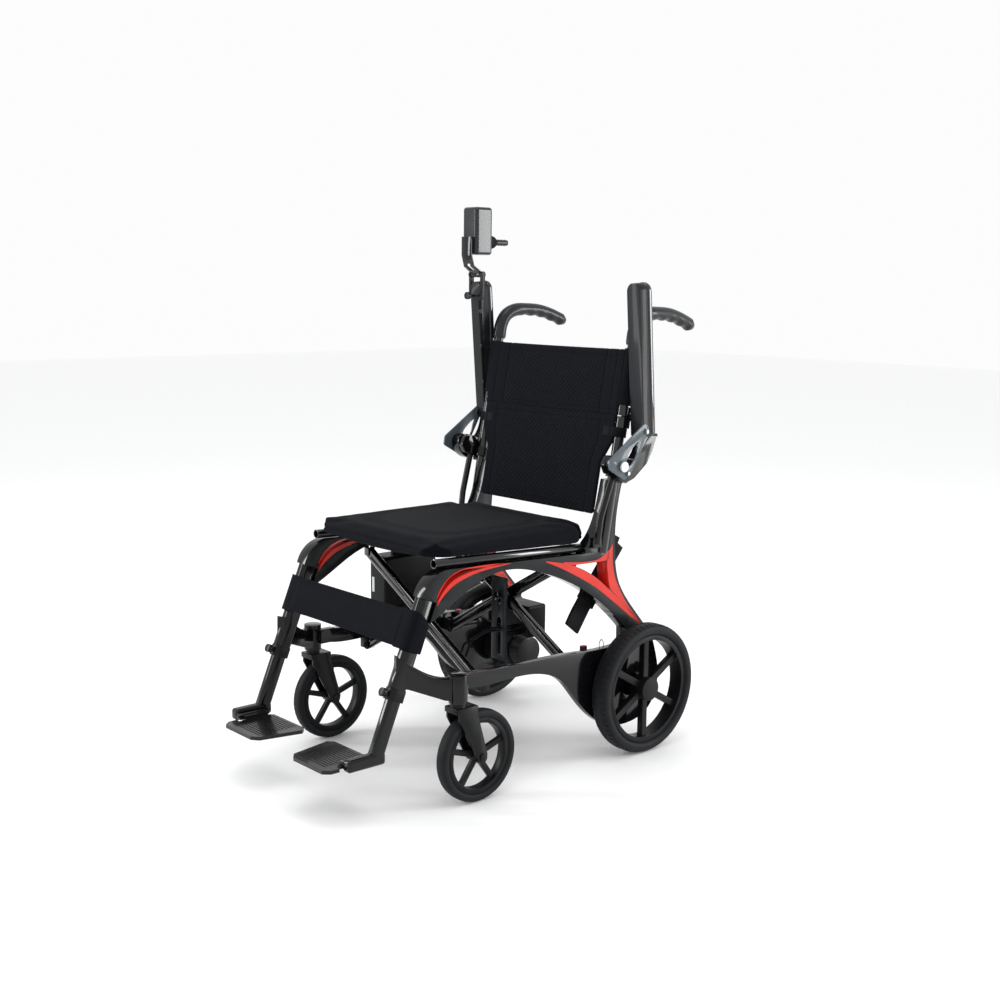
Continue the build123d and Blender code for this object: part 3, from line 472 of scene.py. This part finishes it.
# ---- Battery --------------------------------------------------------------------------------
# A flat pack in a textured case that slides in under the right arch, with a lit charge window.
moulded("battery", 0.0, box_black)
charge_window = coat("charge_window", (0.62, 0.66, 0.68), 0.2, 0.04, gloss=0.5)


def soft_brick(name, low, high, edge, finish, steps=3):
    """A small moulded block: a cube primitive sized to its corners, with its edges rounded."""
    use_only(camera)
    bpy.ops.mesh.primitive_cube_add(size=1.0)
    brick = bpy.context.object
    brick.name = name
    low, high = Vector(low), Vector(high)
    brick.scale = high - low
    brick.location = (low + high) / 2
    settle(brick)
    bevel = brick.modifiers.new("edge", "BEVEL")
    bevel.width = edge
    bevel.segments = steps
    settle(brick)
    bpy.ops.object.shade_smooth_by_angle(angle=radians(40))
    brick.data.materials.append(finish)
    return brick


window = soft_brick("battery_charge_window", (-0.214, -0.1036, 0.352), (-0.205, -0.1020, 0.388),
                    0.0007, charge_window)
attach(window, "battery_pack")


# ---- Backrest posts and push grips ----------------------------------------------------------
# Round black tube, hinged half-way up and bent back into handles. The soft grips are moulded
# with a smooth crown and four finger waves underneath.
grip_rubber = coat("grip_rubber", (0.0150, 0.0165, 0.0190), 0.34, 0.06, gloss=0.25, grain=0.3,
                   grain_scale=1200.0, shade=0.15)
grip_radius = 0.016
grip_rows = 90
wave_deep = 0.0024
grip_line = [(0.2268, 0.3025, 0.9420), (0.2266, 0.3085, 0.9740), (0.2256, 0.3240, 0.9985),
             (0.2243, 0.3530, 1.0115), (0.2227, 0.3900, 1.0125), (0.2205, 0.4300, 1.0095),
             (0.2185, 0.4700, 0.9995), (0.2160, 0.5155, 0.9825)]
for side in SIDES:
    moulded(side + "_post_lower", 0.0006, tube_black)
    moulded(side + "_post_upper", 0.0, tube_black)
for side, sign in SIDES.items():
    line = smooth_line([(x * sign, y, z) for x, y, z in grip_line], grip_rows)
    use_only(camera)
    bpy.ops.mesh.primitive_cylinder_add(vertices=32, radius=grip_radius, depth=1.0, end_fill_type="NGON")
    grip = bpy.context.object
    grip.name = side + "_hand_grip"
    use_only(grip)
    bpy.ops.object.mode_set(mode="EDIT")
    bpy.ops.mesh.select_all(action="SELECT")
    edit = bmesh.from_edit_mesh(grip.data)
    upright = [edge for edge in edit.edges if abs(edge.verts[0].co.z - edge.verts[1].co.z) > 0.5]
    bmesh.ops.subdivide_edges(edit, edges=upright, cuts=grip_rows - 2, use_grid_fill=True)
    bmesh.update_edit_mesh(grip.data)
    bpy.ops.object.mode_set(mode="OBJECT")
    for vertex in grip.data.vertices:
        share = min(max(vertex.co.z + 0.5, 0.0), 1.0)
        place = share * (grip_rows - 1)
        index = min(int(place), grip_rows - 2)
        centre = line[index].lerp(line[index + 1], place - index)
        way = (line[index + 1] - line[index]).normalized()
        out = Vector((1, 0, 0))
        up = way.cross(out).normalized() * (-1 if way.cross(out).z < 0 else 1)
        under = max(-vertex.co.y / grip_radius, 0.0)
        grasp = (share - 0.42) / 0.54
        wave = wave_deep * under * (0.5 - 0.5 * cos(2 * pi * grasp * 4)) if 0 < grasp < 1 else 0.0
        round_end = (1 - max(share - 0.955, 0) / 0.045 * 0.35) * (1 - max(0.02 - share, 0) / 0.02 * 0.1)
        radial = (1.0 - wave / grip_radius) * round_end
        vertex.co = centre + out * vertex.co.x * radial + up * vertex.co.y * radial
    settle(grip)
    face_outwards(grip)
    bpy.ops.object.shade_smooth_by_angle(angle=radians(50))
    grip.data.materials.append(grip_rubber)
    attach(grip, side + "_back")
    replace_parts(grip, side + "_push_grip")


# ---- Armrests -------------------------------------------------------------------------------
# Each arm is a curved casting with a soft pad, locked by a sprung button on a pale cover plate.
arm_plastic = coat("armrest_shell", (0.0100, 0.0115, 0.0130), 0.38, 0.05, gloss=0.08, grain=0.15,
                   grain_scale=1300.0, shade=0.12)
arm_skin = coat("armrest_skin", (0.0085, 0.0095, 0.0110), 0.22, 0.04, gloss=1.0, grain=0.3,
                grain_scale=900.0, shade=0.15)
cover_grey = coat("cover_grey", (0.075, 0.092, 0.104), 0.30, 0.05, gloss=0.3, grain=0.1, shade=0.08)
button_pale = coat("button_pale", (0.72, 0.75, 0.76), 0.3, 0.05, gloss=0.3)
# The opening between the cover plate and the arm, and what is trimmed off the arm's heel.
arm_eye = [(0.274, 0.738), (0.268, 0.722), (0.264, 0.706), (0.256, 0.692), (0.244, 0.681),
           (0.231, 0.676), (0.2275, 0.684), (0.2295, 0.697), (0.238, 0.711), (0.254, 0.725)]
arm_heel = [(0.238, 0.6405), (0.262, 0.6485), (0.302, 0.678), (0.321, 0.707), (0.3335, 0.738),
            (0.360, 0.738), (0.360, 0.600), (0.238, 0.600)]
cover_x, cover_top_z = 0.2805, 0.78     # faces further out and lower than this are the cover plate
casting_top_z = 0.748                   # and the rest below this is the curved casting


def cut_through(piece, outlines):
    """Cut outlines, seen from the side, right through a piece."""
    use_only(camera)
    bpy.ops.mesh.primitive_plane_add(size=1.0)
    cutter = bpy.context.object
    shape = bmesh.new()
    for outline in outlines:
        flat = shape.faces.new([shape.verts.new((-0.5, y, z)) for y, z in outline])
        moved = bmesh.ops.extrude_face_region(shape, geom=[flat])["geom"]
        for point in moved:
            if isinstance(point, bmesh.types.BMVert):
                point.co.x = 0.5
    bmesh.ops.recalc_face_normals(shape, faces=shape.faces)
    shape.to_mesh(cutter.data)
    shape.free()
    cut = piece.modifiers.new("cut", "BOOLEAN")
    cut.operation = "DIFFERENCE"
    cut.solver = "EXACT"
    cut.object = cutter
    settle(piece)
    bpy.data.objects.remove(cutter)


for side, sign in SIDES.items():
    arm = moulded(side + "_armrest_arm", 0.0022, arm_plastic, 3)
    cut_through(arm, (arm_eye, arm_heel))
    bpy.ops.object.shade_smooth_by_angle(angle=radians(35))
    arm.data.materials.append(gloss_black)
    arm.data.materials.append(cover_grey)
    for face in arm.data.polygons:
        reach = face.center.x * sign
        if reach > cover_x and face.center.z < cover_top_z:
            face.material_index = 2
        elif face.center.z < casting_top_z:
            face.material_index = 1
    moulded(side + "_arm_pad", 0.0060, arm_skin, 5, 50.0)
    moulded(side + "_armrest_bracket", 0.0012, gloss_black)
    moulded(side + "_armrest_button", 0.0012, button_pale, 3)


# ---- Joystick -------------------------------------------------------------------------------
# A small moulded control box on a bent steel plate, with a ribbed boot round its stick.
box_gloss = coat("joystick_case", (0.0170, 0.0190, 0.0225), 0.24, 0.06, gloss=0.5, grain=0.15,
                 grain_scale=1500.0, shade=0.2)
moulded("joystick_bracket", 0.0010, gloss_black)
moulded("joystick_housing", 0.0, box_gloss)
key_grey = coat("key_grey", (0.30, 0.31, 0.32), 0.4, 0.05)
for node in ("power_button", "speed_button"):
    moulded(node, 0.0008, key_grey)
moulded("joystick_gimbal", 0.0003, satin_black)


def turned_part(name, profile, place, finish):
    """A round part turned about a line that points back, from (distance, radius) steps."""
    count = 36
    use_only(camera)
    bpy.ops.mesh.primitive_circle_add(vertices=count, radius=1.0, fill_type="NOTHING")
    part = bpy.context.object
    part.name = name
    shape = bmesh.new()
    rings = []
    turns = [2 * pi * k / count for k in range(count)]
    for distance, radius in profile:
        rings.append([shape.verts.new((radius * cos(turn), distance, radius * sin(turn))) for turn in turns])
    for near, far in zip(rings, rings[1:]):
        for k in range(count):
            shape.faces.new((near[k], near[(k + 1) % count], far[(k + 1) % count], far[k]))
    shape.faces.new(rings[0])
    shape.faces.new(rings[-1])
    bmesh.ops.recalc_face_normals(shape, faces=shape.faces)
    shape.to_mesh(part.data)
    shape.free()
    part.location = place
    settle(part)
    bpy.ops.object.shade_smooth_by_angle(angle=radians(40))
    part.data.materials.append(finish)
    return part


stick_place = (-0.267, 0.290, 1.178)
boot_steps = [(-0.002, 0.0195), (0.006, 0.0190), (0.009, 0.0172), (0.012, 0.0180), (0.015, 0.0155),
              (0.018, 0.0163), (0.021, 0.0135), (0.024, 0.0142), (0.027, 0.0112), (0.031, 0.0070)]
boot = turned_part("joystick_boot", boot_steps, stick_place, rubber)
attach(boot, "stick")
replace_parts(boot, "joystick_stick")
ribs = [(0.030 + 0.0045 * step, 0.0082 if step % 2 else 0.0068) for step in range(9)]
lever_steps = [(0.010, 0.0050)] + ribs + [(0.0690, 0.0072), (0.0708, 0.0045)]
stick = turned_part("joystick_lever", lever_steps, stick_place, grip_rubber)
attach(stick, "stick")


# ---- Woven cloths ---------------------------------------------------------------------------
# The seat and back are covered in black spacer mesh, quilted in diamonds up the middle of the
# back. Belts and binding are flat nylon webbing with a fine cross rib.
def woven(name, colour, rough, sheen, threads, depth, quilt=0.0, quilt_half=0.0):
    """Cloth with crossed threads, and diamond quilting within quilt_half of the middle."""
    made = coat(name, colour, rough, 0.06, grain=0.3, grain_scale=700.0, shade=0.2, shade_scale=22.0, shine=0.08)
    tree = made.node_tree
    shader = tree.nodes["Principled BSDF"]
    shader.inputs["Sheen Weight"].default_value = sheen
    shader.inputs["Sheen Roughness"].default_value = 0.45
    place = tree.nodes.new("ShaderNodeTexCoord")

    def ribs(lean, scale):
        turned = tree.nodes.new("ShaderNodeMapping")
        turned.inputs["Rotation"].default_value = (0.0, radians(lean), 0.0)
        tree.links.new(place.outputs["Object"], turned.inputs["Vector"])
        wave = tree.nodes.new("ShaderNodeTexWave")
        wave.inputs["Scale"].default_value = scale
        wave.inputs["Distortion"].default_value = 0.25
        wave.inputs["Detail"].default_value = 0.0
        tree.links.new(turned.outputs["Vector"], wave.inputs["Vector"])
        return wave.outputs["Fac"]

    def joined(first, second, how):
        both_ribs = tree.nodes.new("ShaderNodeMath")
        both_ribs.operation = how
        tree.links.new(first, both_ribs.inputs[0])
        if hasattr(second, "node"):
            tree.links.new(second, both_ribs.inputs[1])
        else:
            both_ribs.inputs[1].default_value = second
        return both_ribs.outputs["Value"]

    def raised(height, distance, under):
        bump = tree.nodes.new("ShaderNodeBump")
        bump.inputs["Strength"].default_value = 1.0
        bump.inputs["Distance"].default_value = distance
        tree.links.new(height, bump.inputs["Height"])
        if under:
            tree.links.new(under, bump.inputs["Normal"])
        return bump.outputs["Normal"]

    relief = raised(joined(ribs(0, threads), ribs(90, threads), "MULTIPLY"), depth, None)
    if quilt:
        diamonds = joined(ribs(45, 35.0), ribs(-45, 35.0), "MULTIPLY")
        across = tree.nodes.new("ShaderNodeSeparateXYZ")
        tree.links.new(place.outputs["Object"], across.inputs["Vector"])
        aside = joined(across.outputs["X"], 0.0, "ABSOLUTE")
        within = joined(joined(aside, quilt_half, "LESS_THAN"),
                        joined(across.outputs["Z"], 0.914, "LESS_THAN"), "MULTIPLY")
        relief = raised(joined(diamonds, within, "MULTIPLY"), quilt, relief)
    tree.links.new(relief, shader.inputs["Normal"])
    return made


seat_cloth = woven("seat_spacer_cloth", (0.0034, 0.0040, 0.0062), 0.88, 0.02, 190.0, 0.0005)
back_cloth = woven("quilted_spacer_cloth", (0.0038, 0.0044, 0.0068), 0.86, 0.02, 210.0, 0.0004, 0.0013, 0.163)
webbing = woven("nylon_webbing", (0.0060, 0.0062, 0.0074), 0.62, 0.04, 150.0, 0.0004)


# ---- Stuffed covers -------------------------------------------------------------------------
# A sewn cover fills out with its foam: it is held along its seams and swells between them.
def stuffed(piece, voxel, held, pressure, cap):
    """Remesh a cover evenly, let it swell with its held points sewn down, then cap the swell."""
    use_only(piece)
    remesh = piece.modifiers.new("even_cloth", "REMESH")
    remesh.mode = "VOXEL"
    remesh.voxel_size = voxel
    soften = piece.modifiers.new("soften", "SMOOTH")
    soften.factor = 0.5
    soften.iterations = 5
    settle(piece)
    before = [vertex.co.copy() for vertex in piece.data.vertices]
    sewn = piece.vertex_groups.new(name="sewn")
    sewn.add([v.index for v in piece.data.vertices if held(v.co)], 1.0, "REPLACE")
    cover = piece.modifiers.new("cover", "CLOTH")
    cover.settings.quality = 4
    cover.settings.mass = 0.15
    cover.settings.bending_stiffness = 2.0
    cover.settings.use_pressure = True
    cover.settings.uniform_pressure_force = pressure
    cover.settings.vertex_group_mass = "sewn"
    cover.settings.effector_weights.gravity = 0.0
    cover.collision_settings.use_collision = False
    cover.point_cache.frame_start = 1
    cover.point_cache.frame_end = 20
    for moment in range(1, 21):
        bpy.context.scene.frame_set(moment)
    settle(piece)
    bpy.context.scene.frame_set(1)
    for vertex, home in zip(piece.data.vertices, before):
        swell = vertex.co - home
        if swell.length > cap:
            vertex.co = home + swell.normalized() * cap


def finished_cover(piece, levels, finish):
    """Give a stuffed cover its last subdivision, its smooth shading and its cloth."""
    finer = piece.modifiers.new("finer", "SUBSURF")
    finer.levels = finer.render_levels = levels
    settle(piece)
    bpy.ops.object.shade_smooth()
    piece.data.materials.clear()
    piece.data.materials.append(finish)


def drawn_seam(piece, distance, deep, wide):
    """Draw a stitched seam into a surface, where distance(point) is how far a point is from its line."""
    for vertex in piece.data.vertices:
        off = distance(vertex.co)
        if abs(off) < 2.5 * wide:
            vertex.co -= vertex.normal * deep * exp(-(off / wide) ** 2)


# ---- Seat cushion ---------------------------------------------------------------------------
# A foam pad 4 cm thick in a sewn cover. It is crowned on top, pulled in between its corners,
# flat where it lies on the rails, and has a border strip sewn on along its lower edge.
def seat_under(y):
    """Height of the cushion's underside, which follows the seat rails."""
    return 0.519 - 0.0397 * (y + 0.27)


cushion = moulded("seat_cushion", 0.011, seat_cloth, 3, 40.0)
cushion_low, cushion_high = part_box("seat_cushion")
cushion_middle = (cushion_low + cushion_high) / 2
cushion_half = (cushion_high - cushion_low) / 2
stuffed(cushion, 0.005, lambda p: p.z < seat_under(p.y) + 0.013, 3.0, 0.005)
crown, waist, sag = 0.0045, 0.004, 0.007
corner = 0.052          # how far each front corner is cut off
for vertex in cushion.data.vertices:
    across = (vertex.co.x - cushion_middle.x) / cushion_half.x
    along = (vertex.co.y - cushion_middle.y) / cushion_half.y
    height = min(max((vertex.co.z - seat_under(vertex.co.y) - 0.008) / 0.018, 0.0), 1.0)
    vertex.co.z += crown * height * (1 - across ** 4) * (1 - along ** 4)
    pull = waist * height
    vertex.co.x -= pull * across * max(1 - along ** 2, 0.0) if abs(across) > 0.8 else 0.0
    vertex.co.y -= pull * along * max(1 - across ** 2, 0.0) if abs(along) > 0.8 else 0.0
    between_rails = max(1 - (vertex.co.x / 0.19) ** 2, 0.0)
    forward = min(max(-vertex.co.y / 0.2, 0.0), 1.0)
    vertex.co.z -= sag * (1 - height) * between_rails * forward
    beyond = abs(vertex.co.x) - cushion_half.x + cushion_low.y + corner - vertex.co.y
    if vertex.co.y < 0 and beyond > 0:
        vertex.co.x -= copysign(beyond / 2, vertex.co.x)
        vertex.co.y += beyond / 2
finished_cover(cushion, 1, seat_cloth)
drawn_seam(cushion, lambda p: p.z - seat_under(p.y) - 0.0125, 0.0022, 0.0022)
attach(cushion, "seat")
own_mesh(cushion)


# ---- Backrest -------------------------------------------------------------------------------
# Two padded cloths between the posts. The upper one has sleeves that slip over the posts and a
# bound top hem, and the lower one is strapped round them. Both hang back a little in the middle.
def leaning(foot, lean):
    """How to place a point given across, square to a leaning part, and up along it."""
    def placed(point):
        return foot + Vector((point.x, point.z * sin(lean) + point.y * cos(lean),
                              point.z * cos(lean) - point.y * sin(lean)))
    return placed


on_back = leaning(Vector((0, 0.231, 0.549)), radians(10.3))


def back_panel(name, half, low, high, seams, widened=0.0):
    """A padded cloth that swells between its seams, hangs back in the middle and, by widened, spreads its side
    edges above a set height.
    """
    panel = soft_brick(name, (-half, -0.0175, low), (half, -0.0065, high), 0.0045, back_cloth)

    def sewn(p):
        edge = min(half - abs(p.x), p.z - low, high - p.z)
        return edge < 0.007 or min(abs(abs(p.x) - seam) for seam in seams) < 0.004

    stuffed(panel, 0.0042, sewn, 2.5, 0.004)
    finished_cover(panel, 1, back_cloth)
    for seam in seams:
        drawn_seam(panel, lambda p: abs(p.x) - seam, 0.0016, 0.0018)
    drawn_seam(panel, lambda p: high - 0.018 - p.z, 0.0014, 0.0016)
    drawn_seam(panel, lambda p: p.z - low - 0.014, 0.0012, 0.0016)
    for vertex in panel.data.vertices:
        share = min(abs(vertex.co.x) / half, 1.0)
        above_clamp = min(max((vertex.co.z - 0.128) / 0.05, 0.0), 1.0)
        vertex.co.x *= 1 + widened / half * above_clamp * share ** 4
        vertex.co.y += 0.010 * (1 - share ** 2)
        vertex.co = on_back(vertex.co)
    panel.data.update()
    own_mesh(panel)
    return panel


upper_cloth = back_panel("backrest_upper_cloth", 0.2265, 0.2350, 0.3905, (0.165, 0.200))
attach(upper_cloth, "left_back")
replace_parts(upper_cloth, "sling_upper")
lower_cloth = back_panel("backrest_lower_cloth", 0.1955, 0.0080, 0.2400, (0.165,), 0.028)
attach(lower_cloth, "left_frame")
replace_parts(lower_cloth, "sling_lower")


def post_loop(name, x, low, high, radius, thick, body):
    """Cloth sewn round a post, as a short tube with soft ends."""
    use_only(camera)
    bpy.ops.mesh.primitive_cylinder_add(vertices=40, radius=radius, depth=high - low,
                                        end_fill_type="NOTHING", location=(0, 0, (low + high) / 2))
    loop = bpy.context.object
    loop.name = name
    walls = loop.modifiers.new("thickness", "SOLIDIFY")
    walls.thickness = thick
    walls.offset = 0.0
    edge = loop.modifiers.new("edge", "BEVEL")
    edge.width = thick * 0.3
    edge.segments = 2
    settle(loop)
    for vertex in loop.data.vertices:
        vertex.co = on_back(Vector((vertex.co.x + x, vertex.co.y, vertex.co.z)))
    bpy.ops.object.shade_smooth_by_angle(angle=radians(40))
    loop.data.materials.append(back_cloth)
    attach(loop, body)


post_x = 0.227
for side, sign in SIDES.items():
    post_loop(side + "_sleeve", post_x * sign, 0.263, 0.391, 0.0145, 0.0028, side + "_back")
    post_loop(side + "_post_strap", post_x * sign, 0.190, 0.212, 0.0145, 0.0026, side + "_frame")
    inner, outer = sorted((0.190 * sign, 0.222 * sign))
    tab = soft_brick(side + "_strap_tab", (inner, -0.0165, 0.190), (outer, -0.0125, 0.212), 0.0010, webbing)
    for vertex in tab.data.vertices:
        vertex.co = on_back(vertex.co)
    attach(tab, side + "_frame")


# ---- Calf strap -----------------------------------------------------------------------------
# A thick soft band that wraps round both front legs and closes on itself behind them.
on_leg = leaning(Vector((0, -0.353, 0.274)), radians(22.3))
band_half = 0.196
band_low, band_high = 0.068, 0.150
calf_band = soft_brick("calf_band", (-band_half, -0.0265, band_low), (band_half, -0.0185, band_high),
                       0.0036, back_cloth)
stuffed(calf_band, 0.0042, lambda p: min(p.z - band_low, band_high - p.z) < 0.006, 2.5, 0.003)
finished_cover(calf_band, 1, seat_cloth)
drawn_seam(calf_band, lambda p: p.z - 0.077, 0.0010, 0.0014)
drawn_seam(calf_band, lambda p: p.z - 0.141, 0.0010, 0.0014)
for vertex in calf_band.data.vertices:
    vertex.co.y += 0.006 * (1 - (vertex.co.x / band_half) ** 2)
    vertex.co = on_leg(vertex.co)
calf_band.data.update()
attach(calf_band, "left_frame")
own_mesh(calf_band)
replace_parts(calf_band, "calf_strap")
round_leg = [(0.188, -0.0225), (0.216, -0.0230), (0.229, -0.0165), (0.2310, 0.0), (0.2285, 0.0170),
             (0.214, 0.0232), (0.198, 0.0232)]
for side, sign in SIDES.items():
    low_edge = [(x * sign, d, band_low) for x, d in round_leg]
    lowered = [0.022 * min(max(d + 0.01, 0.0) / 0.03, 1.0) for x, d in round_leg]
    high_edge = [(x * sign, d, band_high - drop) for (x, d), drop in zip(round_leg, lowered)]
    wrap = laid_band(side + "_calf_wrap", low_edge, high_edge, 36, on_leg, 0.005, seat_cloth, edge=0.0018)
    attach(wrap, side + "_frame")


# ---- Seat belt ------------------------------------------------------------------------------
# Flat nylon webbing bolted to the frame behind the seat, folded over once, with a slide buckle.
moulding = coat("black_moulding", (0.0055, 0.0056, 0.0062), 0.40, 0.06, grain=0.25,
                grain_scale=1800.0, shade=0.15)
belt_half = 0.024
belt_bolt = Vector((0, 0.240, 0.504))
belt_fold = Vector((0, 0.304, 0.472))
belt_end = Vector((0, 0.166, 0.297))


def belt_run(name, start, end, x, droop):
    """A straight run of webbing in the plane of the frame, drooping a little sideways."""
    way = (end - start).normalized()
    across = Vector((0, -way.z, way.y)) * belt_half
    stops = [start.lerp(end, share / 6) for share in range(7)]

    def drooped(p):
        share = min((p - start).length / (end - start).length, 1.0)
        return Vector((x - droop * sin(pi * share), p.y, p.z))

    run = laid_band(name, [p + across for p in stops], [p - across for p in stops], 25, drooped,
                    0.0024, webbing, edge=0.0008)
    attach(run, "left_frame")
    return run


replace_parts(belt_run("belt_anchor_run", belt_bolt, belt_fold, 0.1912, 0.0), "seat_belt")
belt_run("belt_hanging_run", belt_fold + (belt_fold - belt_end).normalized() * 0.012, belt_end, 0.1884, 0.004)
belt_run("belt_doubled_run", belt_end.lerp(belt_fold, 0.34), belt_end, 0.1842, 0.003)
belt_way = (belt_end - belt_fold).normalized()
belt_turn = atan2(belt_way.z, belt_way.y)
buckle_place = belt_fold.lerp(belt_end, 0.62)
buckle_place.x = 0.1852
for number, (along, across, long, wide) in enumerate(
        ((-0.014, 0.0, 0.004, 0.058), (0.0, 0.0, 0.004, 0.058), (0.014, 0.0, 0.004, 0.058),
         (0.0, -0.027, 0.032, 0.005), (0.0, 0.027, 0.032, 0.005))):
    bar = soft_brick(f"belt_buckle_{number}", (-0.0035, along - long / 2, across - wide / 2),
                     (0.0035, along + long / 2, across + wide / 2), 0.0012, moulding)
    bar.rotation_euler = (belt_turn, 0, 0)
    bar.location = buckle_place
    settle(bar)
    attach(bar, "left_frame")


# ---- Bright fixings -------------------------------------------------------------------------
# Zinc-plated bolt heads on the armrests' cover plates, and a wire ring by each clutch lever.
def hex_bolt(name, place, way, radius, tall, body, finish):
    """A domed hexagon bolt head that faces along way."""
    use_only(camera)
    bpy.ops.mesh.primitive_cylinder_add(vertices=6, radius=radius, depth=tall)
    bolt = bpy.context.object
    bolt.name = name
    bolt.rotation_euler = Vector(way).to_track_quat("Z", "Y").to_euler()
    bolt.location = Vector(place) + Vector(way).normalized() * tall / 2
    edge = bolt.modifiers.new("edge", "BEVEL")
    edge.width = tall * 0.22
    edge.segments = 3
    settle(bolt)
    bpy.ops.object.shade_smooth_by_angle(angle=radians(30))
    bolt.data.materials.append(finish)
    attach(bolt, body)


bolt_steel = coat("bolt_steel", (0.42, 0.43, 0.45), 0.28, 0.06, metallic=1.0, grain=0.1, shade=0.06)
for side, sign in SIDES.items():
    hex_bolt(side + "_cover_bolt_low", (0.2901 * sign, 0.232, 0.662), (sign, 0, 0), 0.0046, 0.0022,
             side + "_armrest", bolt_steel)
    hex_bolt(side + "_cover_bolt_high", (0.2901 * sign, 0.290, 0.752), (sign, 0, 0), 0.0050, 0.0022,
             side + "_armrest", bolt_steel)
    use_only(camera)
    bpy.ops.mesh.primitive_torus_add(major_radius=0.013, minor_radius=0.0011, major_segments=36,
                                     minor_segments=10, location=(0.2235 * sign, 0.2275, 0.2560),
                                     rotation=(0, pi / 2, 0))
    bail = bpy.context.object
    bail.scale = (1.0, 0.55, 1.0)
    bail.name = side + "_wire_bail"
    settle(bail)
    bpy.ops.object.shade_smooth()
    bail.data.materials.append(satin_black)
    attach(bail, side + "_frame")
